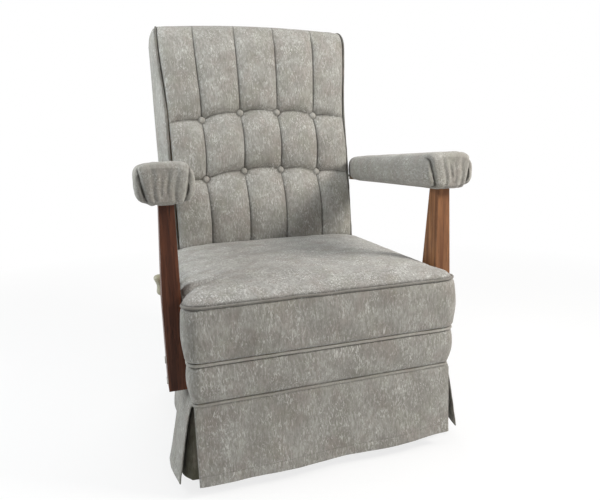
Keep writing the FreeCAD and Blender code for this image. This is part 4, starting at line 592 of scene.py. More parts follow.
def backSide(side):
    # padded side of the back, wider at the rear, closed over at the top behind the piping
    form = sideForm
    bendAt = form["top"] - form["bend"]
    rows = np.concatenate([np.linspace(form["foot"], bendAt, 90)[:-1],
                           bendAt + form["bend"] * np.sin(np.linspace(0, 1, 22) * quarter)])
    cols = np.concatenate([np.linspace(0, 0.12, 8)[:-1], np.linspace(0.12, 0.85, 16)[:-1], np.linspace(0.85, 1, 9)])
    a, z = np.meshgrid(cols, rows)
    lift = np.clip(z - bendAt, 0, form["bend"])
    front = form["front"] + form["bend"] - np.sqrt(np.maximum(form["bend"] ** 2 - lift ** 2, 0))
    y = front + (form["rear"] - front) * a
    full = form["least"] + form["spread"] * np.clip(y / form["rear"], 0, 1) ** 1.1
    full += form["belly"] * arch(a) * (1 + 0.4 * unevenness(np.stack([a * 0, y, z], axis=-1), 0.16, 3))
    # rounded towards the top, the front seam and the rear seam
    nearTop, nearFront, nearRear = (np.clip(gap, 0, 1) for gap in (
        (form["top"] - z) / 0.034, (y - front) / 0.006, (form["rear"] - y) / 0.009))
    edge = np.sqrt(1 - (1 - nearTop) ** 2) * np.sqrt(1 - 0.8 * (1 - nearFront) ** 2)
    full *= (0.25 + 0.75 * edge) * (0.72 + 0.28 * np.sqrt(1 - (1 - nearRear) ** 2))
    # painted shade along the front and rear seams
    marks = np.maximum(bump(y - front, 0.0015), bump(form["rear"] - y, 0.0015)) * 0.5
    sink = 0.009 * smoothStep(0.5, 1, a) * smoothStep(0.55, form["top"], z)
    layers = []
    for reach in (form["inner"] + full, np.full_like(y, form["inner"])):
        layer = placed(widened(np.stack([side * reach, y, z - sink], axis=-1)), backPlace)
        layer[..., 2] = np.maximum(layer[..., 2], form["low"])
        layers.append(layer)
    # its foot is drawn out over the edge of the box
    skin = layers[0]
    drawn = smoothStep(form["low"] + 0.02, form["low"] + 0.002, skin[..., 2])
    skin[..., 0] += side * np.maximum(form["footOut"] - np.abs(skin[..., 0]), 0) * drawn
    piece = cushionFromSkin(mirroredName("backSide", side), *layers, marks)
    dress(piece, coverUpright, "cover_fabric", "back_boxing")


outsideForm = {"half": 0.2768, "foot": -0.1, "top": 0.617, "round": 0.03, "behind": 0.108, "low": 0.2856,
               "pillow": 0.0028, "thick": 0.003, "seamIn": 0.006, "flat": (0.57, 0.735)}


def outsideBack():
    # one flat panel over the rear of the frame, sewn along its edges, with rounded top corners
    form = outsideForm
    foot, top, bend = form["foot"], form["top"], form["round"]
    c, z = np.meshgrid(np.linspace(-1, 1, 90), np.linspace(foot, top, 110))
    corner = np.sqrt(np.maximum(bend ** 2 - np.clip(z - (top - bend), 0, bend) ** 2, 0))
    x = c * (form["half"] - bend + corner)
    pillow = form["pillow"] * (1 - c ** 4) * (1 - (2 * (z - foot) / (top - foot) - 1) ** 6)
    y = form["behind"] + pillow + 0.0007 * unevenness(np.stack([x, x * 0, z * 0.5], axis=-1), 0.12, 6)
    grid = placed(np.stack([-x, y, z], axis=-1), backPlace)
    grid[..., 2] = np.maximum(grid[..., 2], form["low"])
    # the marks give painted shade along the seam just inside the edges
    edge = np.minimum(form["half"] - np.abs(x), np.minimum(z - foot, top - z))
    piece = clothPanel("outsideBack", grid, form["thick"], bump(edge - form["seamIn"], 0.0012) * 0.5)
    dress(piece, coverUpright, "cover_fabric", "outside_back")


backWeltForm = {"side": 0.2572, "front": 0.005, "foot": 0.012, "top": 0.578, "bend": 0.049, "rear": 0.105,
                "radius": 0.0026}


def backWelts():
    # thin piping from the seat up each front edge, over the top and back, coloured dark as painted shade of the groove
    # it lies in
    form = backWeltForm
    bend, over = form["bend"], form["front"] + form["bend"]
    parts = []
    for side in (-1, 1):
        x = side * form["side"]
        path = [(x, form["front"], z) for z in np.linspace(form["foot"], form["top"], 90)]
        path += [(x, over - bend * math.cos(t), form["top"] + 0.001 + bend * math.sin(t))
                 for t in np.linspace(0.05, quarter, 18)]
        path += [(x, y, form["top"] + 0.05 - 0.018 * ((y - over) / 0.05) ** 2)
                 for y in np.linspace(0.058, form["rear"], 12)]
        path = widened(np.array(path))
        path[:, 0] += 0.0005 * unevenness(path, 0.03, 2)
        parts.append(pipe(placed(path, backPlace), form["radius"]))
    dress(joined("backWelts", parts), coverBackWeltShaded, "welt_fabric", "back_welts")


buttonForm = {"radius": 0.0102, "base": 0.0095, "bulge": 0.0085, "crown": 0.0195, "wrap": 1.12, "gathers": 11,
              "rings": 9, "sides": 40}


def buttons():
    # covered buttons with small gathers at their rims
    form = buttonForm
    rings, sides = form["rings"], form["sides"]
    outer, inner = backForm["seams"]
    places = [(x, z) for row in backForm["rows"] for x, z in zip((-outer, -inner, inner, outer), row)]
    parts = []
    for i, (x, z) in enumerate(places):
        points = [(x, form["base"] + 0.0003, z)]
        for r in range(1, rings + 1):
            part = r / rings
            dome = form["base"] + form["bulge"] * (1 - math.cos(part * quarter * 1.1))
            for t in np.linspace(0, 2 * math.pi, sides, endpoint=False):
                reach = form["radius"] * math.sin(part * quarter * form["wrap"]) / math.sin(quarter * form["wrap"])
                reach *= 1 + 0.025 * math.cos(t * form["gathers"] + i) * part ** 3
                points.append((x + reach * math.cos(t), dome, z + reach * math.sin(t)))
        count, last = len(points), 1 + (rings - 1) * sides
        points.append((x, form["crown"], z))
        faces = [(0, 1 + (c + 1) % sides, 1 + c) for c in range(sides)]
        faces += gridFaces(rings, sides, 1, wrapCols=True)
        faces += [(count, last + c, last + (c + 1) % sides) for c in range(sides)]
        parts.append((placed(np.array(points), backPlace), faces))
    dress(joined("tuftButtons", parts), coverButton, "button_fabric", "tuft_buttons")


backCushion()
backSide(-1)
backSide(1)
outsideBack()
backWelts()
buttons()
print("back done")


# Seat

seatForm = {"half": 0.288, "front": -0.334, "rear": 0.254, "frontRound": 0.034, "rearRound": 0.016,
            "cushionRear": 0.1505, "low": 0.2838, "edge": 0.396, "crown": 0.031, "fill": 0.85,
            "swellRight": 0.017, "swellLeft": 0.009, "swellFront": 0.006, "rearTaper": 0.004}


def cornerRound(level):
    # the front corners are tighter towards the floor
    return np.interp(level, [0.196, 0.281, 0.396], [0.014, 0.024, seatForm["frontRound"]])


def swollen(points):
    # the box swells to both sides ahead of the arm posts, and a little forwards
    form = seatForm
    x, y, z = (points[..., i].copy() for i in range(3))
    outwards = np.sign(x) * (np.abs(x) / form["half"]) ** 4
    tall = np.interp(z, [0.196, 0.235, 0.281, 0.335, 0.396, 0.43], [0, 0.42, 0.68, 1.0, 1.0, 0.8])
    swell = np.where(x > 0, form["swellRight"], form["swellLeft"])
    points[..., 0] += outwards * swell * tall * smoothStep(-0.268, -0.303, y)
    points[..., 0] -= outwards * form["rearTaper"] * smoothStep(0, 0.2, y) * (z < 0.3)
    points[..., 1] -= form["swellFront"] * tall * smoothStep(-0.2, -0.33, y)
    return points


def pushedOut(layer, amounts):
    # moves the points of a level ring away from the middle of the chair
    layer[:, :2] += layer[:, :2] / np.linalg.norm(layer[:, :2], axis=1, keepdims=True) * amounts[:, None]


def boxRing(inset, level, count):
    # evenly spaced points anticlockwise round the box, at one height
    form = seatForm
    half, front, rear = form["half"] - inset, form["front"] + inset, form["rear"] - inset
    path = []
    for turn, (x, y, radius) in enumerate([(half, rear, form["rearRound"]), (-half, rear, form["rearRound"]),
                                           (-half, front, cornerRound(level)), (half, front, cornerRound(level))]):
        radius = max(radius - inset, 0.002)
        cx, cy = x - math.copysign(radius, x), y - math.copysign(radius, y - (front + rear) / 2)
        for t in np.linspace(0, quarter, 14):
            angle = turn * quarter + t
            path.append((cx + radius * math.cos(angle), cy + radius * math.sin(angle)))
    path = np.array(path + [path[0]])
    reach = np.concatenate([[0], np.cumsum(np.hypot(*np.diff(path, axis=0).T))])
    even = np.linspace(0, reach[-1], count, endpoint=False)
    x, y = (np.interp(even, reach, path[:, i]) for i in (0, 1))
    return np.stack([x, y, np.full(count, level)], axis=-1)


def seatCushion():
    form = seatForm
    front, rear = form["front"], form["cushionRear"]
    centre = (front + rear) / 2
    a, b = form["half"], (rear - front) / 2
    u, v = np.meshgrid(np.linspace(-1, 1, 151), np.linspace(-1, 1, 127))

    def topPoint(u, v, inset, bend=form["frontRound"]):
        # square grid drawn onto the rounded plan
        x, y = u * (a - inset), v * (b - inset)
        m = np.maximum(np.abs(u), np.abs(v))
        radius = np.where(v < 0, bend, form["rearRound"])
        cornerX, cornerY = a - inset - radius, b - inset - radius
        px, py = np.abs(x) / np.maximum(m, 1e-9), np.abs(y) / np.maximum(m, 1e-9)
        past = (px > cornerX) & (py > cornerY)
        dx, dy = px - cornerX, py - cornerY
        fit = np.where(past, radius / np.maximum(np.hypot(dx, dy), 1e-9), 1.0)
        qx, qy = np.where(past, cornerX + dx * fit, px), np.where(past, cornerY + dy * fit, py)
        share = m ** 6
        return (np.sign(x) * (np.abs(x) * (1 - share) + qx * m * share),
                np.sign(y) * (np.abs(y) * (1 - share) + qy * m * share))

    x, y = topPoint(u, v, 0.0035)
    # the crown falls to the sides and the front, and runs level under the back cushion
    aside, ahead = a - np.abs(x), np.where(y < 0, b - np.abs(y), b)
    soft = -0.02 * np.log(np.exp(-aside / 0.02) + np.exp(-ahead / 0.02)) + 0.003
    reach = np.clip(np.minimum(np.minimum(aside, ahead), soft), 0, None)
    up = np.interp(reach, [0, 0.0035, 0.009, 0.022, 0.05, 0.095, 0.16], [-0.06, 0.03, 0.28, 0.55, 0.8, 0.94, 1.0])
    up *= np.interp(b - y, [0, 0.003, 0.01, 0.02], [0.72, 0.9, 0.98, 1.0])
    z = form["edge"] + 0.002 + form["crown"] * up
    points = np.stack([x, y + centre, z], axis=-1)
    z += 0.0014 * unevenness(points, 0.16, 11) * smoothStep(0.01, 0.06, reach)
    z += 0.0005 * unevenness(points, 0.035, 12) * smoothStep(0.004, 0.02, reach)
    # hollow beside the front left corner, with the corner pushed up before it
    dx, dy = x + 0.25, y + centre + 0.243
    alongFold, acrossFold = dx * 0.93 + dy * 0.36, -dx * 0.36 + dy * 0.93
    z -= 0.0105 * bump(acrossFold, 0.013) * bump(alongFold, 0.045)
    z += 0.006 * bump(acrossFold + 0.028, 0.024) * bump(alongFold, 0.05)
    # short pulls along the front piping
    z -= 0.0007 * np.sin(x * 260 + 3 * np.sin(x * 40)) * bump(reach, 0.012)
    top = np.stack([x, y + centre, z], axis=-1)

    # the boxing runs down from the rim of the top, height and inset at each level
    rows, cols = top.shape[:2]
    rim = rimOf(rows, cols)
    uv = np.array([(u[r, c], v[r, c]) for r, c in rim])
    levels = [(0.3948, 0.0060), (0.3925, 0.0030), (0.388, 0.0008), (0.380, -0.0004)]
    levels += [(h, -0.0004 - 0.0012 * math.sin((0.380 - h) / 0.088 * math.pi)) for h in np.linspace(0.368, 0.292, 16)]
    levels += [(0.2882, 0.0008), (0.2856, 0.0026), (form["low"], 0.0060)]
    points, marks = [top.reshape(-1, 3)], [np.zeros(rows * cols)]
    for height, inset in levels:
        sx, sy = topPoint(uv[:, 0], uv[:, 1], inset, cornerRound(height))
        layer = np.stack([sx, sy + centre, np.full(len(sx), height)], axis=-1)
        pushedOut(layer, 0.0022 * unevenness(layer * [1, 1, 0.6], 0.13, 14) * arch((0.392 - height) / 0.104))
        points.append(layer)
        # painted shade on the top and bottom rows of the boxing, beside the pipings
        marks.append(np.full(len(layer), 0.55 if height > 0.393 or height < 0.285 else 0.0))
    faces = gridFaces(rows, cols)
    count, start = len(rim), rows * cols
    above = index = [r * cols + c for r, c in rim]
    for level in range(len(levels)):
        here = [start + level * count + i for i in range(count)]
        for i in range(count):
            j = (i + 1) % count
            faces.append((above[j], above[i], here[i], here[j]))
        above = here
    faces.append(tuple(here))
    marks = np.concatenate(marks)
    # painted shade round the rim of the top, along the piping
    marks[index] = 0.35
    piece = makePiece("seatCushion", swollen(np.concatenate(points)), faces, marks)
    dress(piece, coverFlat, "cover_fabric", "seat_cushion")
    # the boxing has its nap upright
    piece.data.materials.append(coverUpright)
    for face in piece.data.polygons:
        if abs(face.normal.z) < 0.5 and face.center.z < form["edge"] + 0.001:
            face.material_index = 1


def borderBand():
    # padded band between the two lower pipings, all round the box
    count, mouth = 420, 0.0044
    levels = [(0.1992, mouth), (0.2025, 0.0018), (0.208, 0.0004)]
    levels += [(z, -0.0004 - 0.0024 * math.sin((z - 0.209) / 0.06 * math.pi)) for z in np.linspace(0.216, 0.262, 9)]
    levels += [(0.270, 0.0004), (0.2752, 0.0018), (0.2784, mouth), (0.2784, 0.0118), (0.1992, 0.0118)]
    rings, marks = [], []
    for z, inset in levels:
        layer = boxRing(inset, z, count)
        if inset < 0.004:
            pushedOut(layer, 0.0008 * unevenness(layer, 0.1, 5))
        rings.append(swollen(layer))
        # painted shade in the mouths where the band meets the pipings
        marks.append(np.full(count, 0.5 if inset == mouth else 0.0))
    faces = gridFaces(len(levels), count, wrapRows=True, wrapCols=True)
    piece = makePiece("borderBand", np.concatenate(rings), faces, np.concatenate(marks))
    dress(piece, coverUpright, "cover_fabric", "front_band", "rear_band", "side_bands")


weltForm = {"inset": 0.003, "levels": (0.281, 0.196), "radius": 0.0031, "topRadius": 0.0027, "rearEnd": 0.136}


def seatWelts():
    # two closed pipings round the box, and one round the cushion's top up to the back
    form = weltForm
    inset = form["inset"]
    parts = []
    for level, seed in zip(form["levels"], (31, 32)):
        path = boxRing(inset, level, 480)
        path[:, 2] += 0.0005 * unevenness(path, 0.09, seed)
        parts.append(pipe(swollen(path), form["radius"], closed=True))
    half, front, bend = seatForm["half"] - inset, seatForm["front"] + inset, seatForm["frontRound"] - inset
    turns = np.linspace(0, quarter, 14)
    path = [(-half, y) for y in np.linspace(form["rearEnd"], front + bend, 90)[:-1]]
    path += [(-half + bend - bend * math.cos(t), front + bend - bend * math.sin(t)) for t in turns]
    path += [(x, front) for x in np.linspace(-half + bend, half - bend, 120)[1:-1]]
    path += [(half - bend + bend * math.sin(t), front + bend - bend * math.cos(t)) for t in turns]
    path += [(half, y) for y in np.linspace(front + bend, form["rearEnd"], 90)[1:]]
    path = np.array([(x, y, seatForm["edge"]) for x, y in path])
    path[:, 2] += 0.0008 * unevenness(path, 0.08, 33)
    parts.append(pipe(swollen(path), form["topRadius"]))
    # the lowest piping is darkened a little and the top one most: painted shade
    dress(joined("seatWelts", parts, [0.0, 0.12, 0.42]), coverWelt, "welt_fabric", "seat_welts")


deckForm = {"half": 0.253, "rear": 0.1475, "front": -0.316, "height": 0.2984, "thick": 0.002, "flat": (0.506, 0.4635)}


def deckCloth():
    # black cloth stretched over the seat springs, under the cushion
    form = deckForm
    x, y = np.meshgrid(np.linspace(-form["half"], form["half"], 60), np.linspace(form["rear"], form["front"], 56))
    z = form["height"] + 0.0004 * unevenness(np.stack([x, y, x * 0], axis=-1), 0.09, 17)
    piece = clothPanel("deckCloth", np.stack([x, y, z], axis=-1), form["thick"], np.zeros_like(x))
    dress(piece, finishes["deck_cloth"], "deck_cloth", "seat_deck")


seatCushion()
borderBand()
deckCloth()
seatWelts()
print("seat done")


# Skirt

skirtForm = {"top": 0.1945, "foot": 0.0255, "thick": 0.003, "hem": 0.021, "foldKeep": 0.75}
sideFlare = [(0, 0.031), (0.05, 0.042), (0.13, 0.049), (0.25, 0.038), (0.5, 0.016), (1, 0.005)]
sideFolds = [(0.2, 0.07, 0.003, 0.08), (0.44, 0.08, -0.005, 0.0), (0.64, 0.08, 0.005, -0.08), (0.86, 0.07, 0.002, 0.0)]

# Each panel runs from start to end. Flare holds shares of the length and how far the hem stands out there,
# folds hold place, width, height and slant, and rise lifts the hem towards the end.
skirtPanels = {
    "skirtFront": {"start": (-0.2845, -0.3298), "end": (0.2845, -0.3298), "away": (0, -1), "power": 1.3, "rise": 0.008,
                   "flare": [(0, 0.007), (0.5, 0.004), (1, 0.007)],
                   "folds": [(0.1, 0.08, 0.002, 0.08), (0.33, 0.13, 0.0055, -0.22), (0.58, 0.1, -0.002, 0.1),
                             (0.8, 0.12, 0.004, 0.16)],
                   "node": "skirt_front", "flat": (0.572, 0.168)},
    "skirtRear": {"start": (0.2845, 0.2498), "end": (-0.2845, 0.2498), "away": (0, 1), "power": 1.3, "rise": 0.0,
                  "flare": [(0, 0.004), (1, 0.004)],
                  "folds": [(0.2, 0.11, 0.004, 0.08), (0.48, 0.12, -0.002, 0.0), (0.72, 0.11, 0.004, -0.08)],
                  "node": "skirt_rear", "flat": (0.572, 0.168)},
    "skirtLeft": {"start": (-0.2798, 0.235), "end": (-0.2838, -0.315), "away": (-1, 0), "power": 0.75, "rise": 0.0,
                  "flare": [(1 - p, r) for p, r in sideFlare[::-1]],
                  "folds": [(1 - p, w, h, -s) for p, w, h, s in sideFolds],
                  "node": "skirt_left", "flat": (0.55, 0.176)},
    "skirtRight": {"start": (0.2838, -0.315), "end": (0.2798, 0.235), "away": (1, 0), "power": 0.75, "rise": 0.0,
                   "flare": sideFlare, "folds": sideFolds, "node": "skirt_right", "flat": (0.55, 0.176)},
}


def hang(piece):
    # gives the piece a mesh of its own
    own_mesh(piece)


def skirtPanel(name, panel):
    form = skirtForm
    long = math.dist(panel["start"], panel["end"])
    rows = np.concatenate([np.linspace(0, 0.86, 50)[:-1], np.linspace(0.86, 1, 18)])
    a, d = np.meshgrid(np.linspace(0, 1, int(long / 0.0045)), rows)
    swing = d ** panel["power"]
    shares, reaches = zip(*panel["flare"])
    reach = np.interp(a[0], shares, reaches)
    reach = np.convolve(np.pad(reach, 8, "edge"), np.full(17, 1 / 17), "valid")[None]  # eased between the shares
    out = reach * swing + 0.0035 * smoothStep(0.004, 0.04, d)
    for place, width, height, slant in panel["folds"]:
        out += height * d ** 1.3 * bump(a - place - slant * (1 - d), width)
    foot = form["foot"] + panel["rise"] * smoothStep(0.7, 1, a)
    foot = foot + 0.0006 * unevenness(np.stack([a * long, a * 0, a * 0], axis=-1), 0.2, 7)
    start, end, away = (np.array(panel[key]) for key in ("start", "end", "away"))
    grid = np.zeros(a.shape + (3,))
    grid[..., :2] = start * (1 - a[..., None]) + end * a[..., None] + away * out[..., None]
    grid[..., 2] = form["top"] + (foot - form["top"]) * d
    grid[..., :2] += away * (0.0005 * unevenness(grid, 0.035, 8) * swing)[..., None]
    # the hem is turned up and stitched, and so are the edges at the slits; the dark lines along the hem, the slit edges
    # and under the top piping are painted shade
    height = grid[..., 2] - foot
    hem = bump(height - form["hem"], 0.0009)
    marks = np.maximum(hem * 0.45, bump(np.minimum(a, 1 - a) * long - 0.011, 0.0008) * 0.25)
    marks = np.maximum(marks, bump(d, 0.012) * 0.5)
    double = 0.4 * smoothStep(form["hem"] + 0.002, form["hem"] - 0.001, height) - 0.5 * hem
    grid[..., :2] += away * (0.0011 * double)[..., None]
    piece = clothPanel(name, grid, form["thick"], marks)
    dress(piece, coverUpright, "cover_fabric", panel["node"])
    hang(piece)


pleatForm = {"corner": 0.2795, "front": -0.3255, "rear": 0.2455, "run": 0.068, "bend": 0.02, "frontOut": 0.041,
             "rearOut": 0.005, "hollow": 0.007, "short": 0.005, "thick": 0.0024, "flat": (0.136, 0.16)}


def pleatCorner(side, way):
    # underlay folded round a corner behind the slit, drawn into soft hollow folds, and coloured dark olive as painted
    # shade behind the slit
    form = pleatForm
    run, bend = form["run"], form["bend"]
    x0, y0 = side * form["corner"], form["front" if way < 0 else "rear"]
    a, d = np.meshgrid(np.linspace(-1, 1, 48), np.linspace(0, 1, 30))
    # along x, round the bend and along y; at the front the foot stands out behind the side panel
    along = a * run
    out = side * form["frontOut" if way < 0 else "rearOut"] * d ** 0.8 * smoothStep(-run, run * 0.7, along)
    inwards = bump(along, bend) * bend * 0.42 + form["hollow"] * d ** 1.2 * np.sin(along / 0.024) ** 2 * 0.7
    x = np.where(along < 0, x0 + side * along, x0) + out - side * inwards
    y = np.where(along < 0, y0, y0 - way * along) - way * inwards
    z = skirtForm["top"] + (skirtForm["foot"] + form["short"] - skirtForm["top"]) * d
    name = mirroredName("pleat", side) + ("Front" if way < 0 else "Rear")
    piece = clothPanel(name, np.stack([x, y, z], axis=-1), form["thick"], np.zeros_like(a))
    dress(piece, coverPleatShaded, "pleat_lining", "skirt_pleats")
    hang(piece)


for name, panel in skirtPanels.items():
    skirtPanel(name, panel)
for side in (-1, 1):
    for way in (-1, 1):
        pleatCorner(side, way)
print("skirt done")


# Arms

# Stations hold the distance from the front and then the inner side, outer side, underside and top, in millimetres.
# Gathers hold place, width and height.
armForm = {"stations": [(-24, 262, 355, 1, 63), (-19, 251, 364, -4, 70), (-8, 247, 368, -6, 74),
                        (40, 248, 367, -6, 74.5), (251, 254, 361, -4, 72), (407, 257, 357, -3, 70),
                        (452, 268, 355, -2, 69), (490, 281, 350, 1, 65), (502, 292, 339, 11, 54)],
           "breaks": [(-0.024, 5), (-0.019, 16), (0.02, 62), (0.44, 13), (0.49, 7)], "end": 0.502, "around": 120,
           "gathers": [(0.3, 0.06, 0.0020), (0.46, 0.05, 0.0026), (0.6, 0.045, 0.0016), (0.74, 0.06, 0.0022)],
           "cover": (0.248, 0.367), "seamDepth": 0.0046, "underside": -0.0065, "top": 0.0765, "fill": 0.8}


def armSection(y, inner, outer, low, high, part=1.0, push=0.0):
    # one ring of the pad: flat underneath, rounded over the top
    turns = np.linspace(0, 2 * math.pi, armForm["around"], endpoint=False)
    c, s = np.cos(turns), np.sin(turns)
    half, waist, centre = (outer - inner) / 2, low + (high - low) * 0.5, (low + high) / 2
    x = half * np.sign(c) * np.abs(c) ** 0.5
    x = x * (1 - 0.13 * np.clip(-s, 0, 1) ** 1.4)
    z = np.where(s > 0, (high - waist) * np.abs(s) ** 0.66, -(waist - low) * np.abs(s) ** 0.5)
    return np.stack([(inner + outer) / 2 + x * part, np.full_like(x, y + push), centre + (waist + z - centre) * part],
                    axis=-1)


def armPad(side):
    form = armForm
    stations = np.array(form["stations"]) / 1000
    starts = [start for start, count in form["breaks"]] + [form["end"]]
    ys = np.concatenate([np.linspace(start, end, count)[:-1]
                         for (start, count), end in zip(form["breaks"], starts[1:])] + [[form["end"]]])
    sizes = []
    for i in range(1, 5):
        # eased between the stations
        size = np.interp(ys, stations[:, 0], stations[:, i])
        padded = np.concatenate([[size[0]] * 2, size, [size[-1]] * 2])
        eased = np.convolve(padded, [0.1, 0.2, 0.4, 0.2, 0.1], "valid")
        eased[:2], eased[-2:] = size[:2], size[-2:]
        sizes.append(eased)
    sizes = np.array(sizes).T
    caps = np.sin(np.linspace(0.03, 1, 26)[:-1] * quarter)
    rings = [armSection(ys[0], *sizes[0], part, -0.0015 * (1 - part ** 2)) for part in caps]
    rings += [armSection(y, *size) for y, size in zip(ys, sizes)]
    rings += [armSection(ys[-1], *sizes[-1], part, 0.003 * (1 - part ** 2)) for part in caps[::-1]]
    rows, cols = len(rings), form["around"]
    faces = gridFaces(rows, cols, wrapCols=True)
    faces += [tuple(range(cols - 1, -1, -1)), tuple(range((rows - 1) * cols, rows * cols))]
    points = np.concatenate(rings)
    piece = makePiece(mirroredName("armPad", side), points, faces)

    # the front cover is gathered between two slanting seams
    x, y, z = points.T
    inner, outer = form["cover"]
    t = (x - inner) / (outer - inner)
    under = 1 - np.clip(z / 0.072, 0, 1)
    ahead = smoothStep(0.012, -0.014, y)
    amounts, marks = np.zeros(len(points)), np.zeros(len(points))
    seamIn, seamOut = 0.04 + 0.14 * under, 0.965 - 0.14 * under
    for seam in (seamIn, seamOut):
        off = (t - seam) * (outer - inner)
        amounts += form["seamDepth"] * ahead * bump(off, 0.0045)
        # a line of painted shade along each seam, where the front cover's lip stands proud
        marks = np.maximum(marks, ahead * bump(off, 0.0024) * 0.95)
    between = smoothStep(0, 0.06, t - seamIn) * smoothStep(0, 0.06, seamOut - t)
    fan = 0.5 + (t - 0.5) * (1 + 0.35 * under)
    reach = smoothStep(0.045, -0.015, y)
    dice = np.random.default_rng(40 + side)
    for place, width, height in form["gathers"]:
        place += dice.uniform(-0.025, 0.025)
        wave = bump(fan - place - 0.02 * np.sin(z * 90), width * 0.7)
        amounts += height * reach * between * wave * (0.5 + 0.8 * under)
    amounts -= 0.0016 * reach * between
    # the stuffing is a little lumpy, and a seam runs under each side where the cover meets the board, drawn as a line
    # of painted shade
    amounts += 0.0008 * unevenness(points * [1, 0.5, 1], 0.05, 50 + side) * (z > 0.004)
    marks = np.maximum(marks, bump(z + 0.004, 0.002) * 0.4 * (np.abs(t - 0.5) > 0.3))
    pressed(piece, amounts, marks)
    spots = pointsOf(piece)
    spots[:, 2] = np.clip(spots[:, 2], form["underside"], form["top"])
    if side < 0:
        # the pad on this side is pulled a little narrower towards its front
        spots[:, 0] -= (spots[:, 0] - 0.247) * 0.055 * smoothStep(0.3, 0, spots[:, 1])
    spots[:, 0] *= side
    setPoints(piece, placed(spots, armPlace))
    outward(piece)
    dress(piece, coverArm, "cover_fabric", "arm_pad_left" if side < 0 else "arm_pad_right")


armPad(-1)
armPad(1)
print("arms done")


# Springs

def rockSprings():
    # a copy of the coil springs in spring steel, in place of the plain solid, with its placing baked in
    coils = bpy.data.objects.new("rockSprings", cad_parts["coil_springs"].data.copy())
    bpy.context.scene.collection.objects.link(coils)
    coils.data.materials.clear()
    coils.data.materials.append(finishes["spring_steel"])
    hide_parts("coil_springs")
    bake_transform(coils)


rockSprings()
print("springs done")


# Studio

room = {"floorHalf": 30, "floorColour": (0.93, 0.93, 0.93, 1), "floorGlow": 0.8, "glowFrom": 0.9, "glowTo": 2.4,
        "ambient": 0.2}

# a warm lamp close on the right, cooler daylight from the upper left and behind it, and two plain ones
daylight = (0.93, 0.98, 1.0)
lamps = {
    "keyRight": {"place": (1.3, -1.0, 1.45), "target": (0, -0.05, 0.5), "size": (0.45, 0.45), "power": 31,
                 "colour": (1.0, 0.965, 0.91)},
    "windowLeft": {"place": (-1.0, -0.2, 1.35), "target": (0.25, 0, 0.65), "size": (0.5, 0.5), "power": 8,
                   "colour": daylight},
    "windowBehind": {"place": (-1.9, 0.45, 0.95), "target": (0, 0, 0.6), "size": (1.0, 1.2), "power": 13,
                     "colour": daylight},
    "rearFill": {"place": (0.7, 2.3, 1.6), "target": (0, 0, 0.5), "size": (1.4, 1.4), "power": 24, "colour": (1, 1, 1)},
    "ceiling": {"place": (0.1, -0.3, 2.4), "target": (0, -0.1, 0), "size": (1.2, 1.2), "power": 12, "colour": (1, 1, 1)},
}


def areaLight(name, values):
    lamp = bpy.data.lights.new(name, "AREA")
    lamp.shape = "RECTANGLE"
    lamp.size, lamp.size_y = values["size"]
    lamp.energy = values["power"]
    lamp.color = values["colour"]
    holder = bpy.data.objects.new(name, lamp)
    holder.location = values["place"]
    aim = Vector(values["target"]) - Vector(values["place"])
    holder.rotation_euler = aim.to_track_quat("-Z", "Y").to_euler()
    bpy.context.scene.collection.objects.link(holder)


def seenDirectly(tree):
    # 1 for the camera and for what shows in gloss and glass, 0 for the light that falls on the chair
    rays = tree.nodes.new("ShaderNodeLightPath").outputs
    seen = maths(tree, "MAXIMUM", rays["Is Camera Ray"], rays["Is Glossy Ray"])
    return maths(tree, "MAXIMUM", seen, rays["Is Transmission Ray"])


def mixedShader(tree, share, first, second, output):
    mix = tree.nodes.new("ShaderNodeMixShader")
    for i, value in enumerate((share, first.outputs[0], second.outputs[0])):
        feed(tree, mix.inputs[i], value)
    feed(tree, tree.nodes[output].inputs["Surface"], mix.outputs[0])


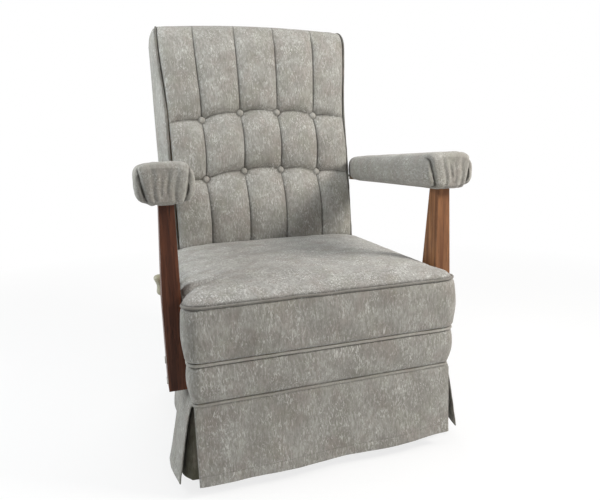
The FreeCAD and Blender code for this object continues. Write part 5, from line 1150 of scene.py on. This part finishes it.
def studioFloor():
    # pale floor that glows to white away from the chair, so that it shows no horizon
    half = room["floorHalf"]
    mesh = bpy.data.meshes.new("studioFloor")
    mesh.from_pydata([(-half, -half, 0), (half, -half, 0), (half, half, 0), (-half, half, 0)], [], [(0, 1, 2, 3)])
    floor = bpy.data.objects.new("studioFloor", mesh)
    bpy.context.scene.collection.objects.link(floor)
    material = bpy.data.materials.new("studioFloor")
    material.use_nodes = True
    tree = material.node_tree
    shader = tree.nodes["Principled BSDF"]
    for label, value in (("Base Color", room["floorColour"]), ("Roughness", 1.0), ("Specular IOR Level", 0.0)):
        shader.inputs[label].default_value = value
    away = tree.nodes.new("ShaderNodeVectorMath")
    away.operation = "LENGTH"
    feed(tree, away.inputs[0], tree.nodes.new("ShaderNodeTexCoord").outputs["Object"])
    fade = ranged(tree, away.outputs["Value"], room["glowFrom"], room["glowTo"], room["floorGlow"], 1.0)
    glow = tree.nodes.new("ShaderNodeEmission")
    mixedShader(tree, times(tree, seenDirectly(tree), fade), shader, glow, "Material Output")
    mesh.materials.append(material)


def studioWorld():
    world = bpy.data.worlds.new("studioWorld")
    bpy.context.scene.world = world
    world.use_nodes = True
    tree = world.node_tree
    ambient, white = tree.nodes["Background"], tree.nodes.new("ShaderNodeBackground")
    for backdrop, strength in ((ambient, room["ambient"]), (white, 1.0)):
        backdrop.inputs["Color"].default_value = (1, 1, 1, 1)
        backdrop.inputs["Strength"].default_value = strength
    mixedShader(tree, seenDirectly(tree), ambient, white, "World Output")


def photoCamera():
    # fitted to the photograph's seams, pipings, buttons and post corners
    view = {"place": (-0.3658, -1.2949, 0.7002), "azimuth": -17.593, "elevation": 11.748, "roll": -1.489,
            "pixels": 526.0, "width": 600, "sensor": 36}
    a, e, r = (math.radians(view[key]) for key in ("azimuth", "elevation", "roll"))
    back = Vector((math.sin(a) * math.cos(e), -math.cos(a) * math.cos(e), math.sin(e)))
    right = Vector((0, 0, 1)).cross(back).normalized()
    up = back.cross(right)
    right, up = math.cos(r) * right + math.sin(r) * up, -math.sin(r) * right + math.cos(r) * up
    lens = bpy.data.cameras.new("photoCamera")
    lens.sensor_width = view["sensor"]
    lens.lens = view["pixels"] / view["width"] * view["sensor"]
    lens.clip_start = 0.05
    camera = bpy.data.objects.new("photoCamera", lens)
    camera.matrix_world = Matrix.Translation(view["place"]) @ Matrix((right, up, back)).transposed().to_4x4()
    bpy.context.scene.collection.objects.link(camera)
    bpy.context.scene.camera = camera


studioFloor()
studioWorld()
for name, values in lamps.items():
    areaLight(name, values)
photoCamera()
bpy.context.scene.view_settings.view_transform = "Standard"
print("studio done")
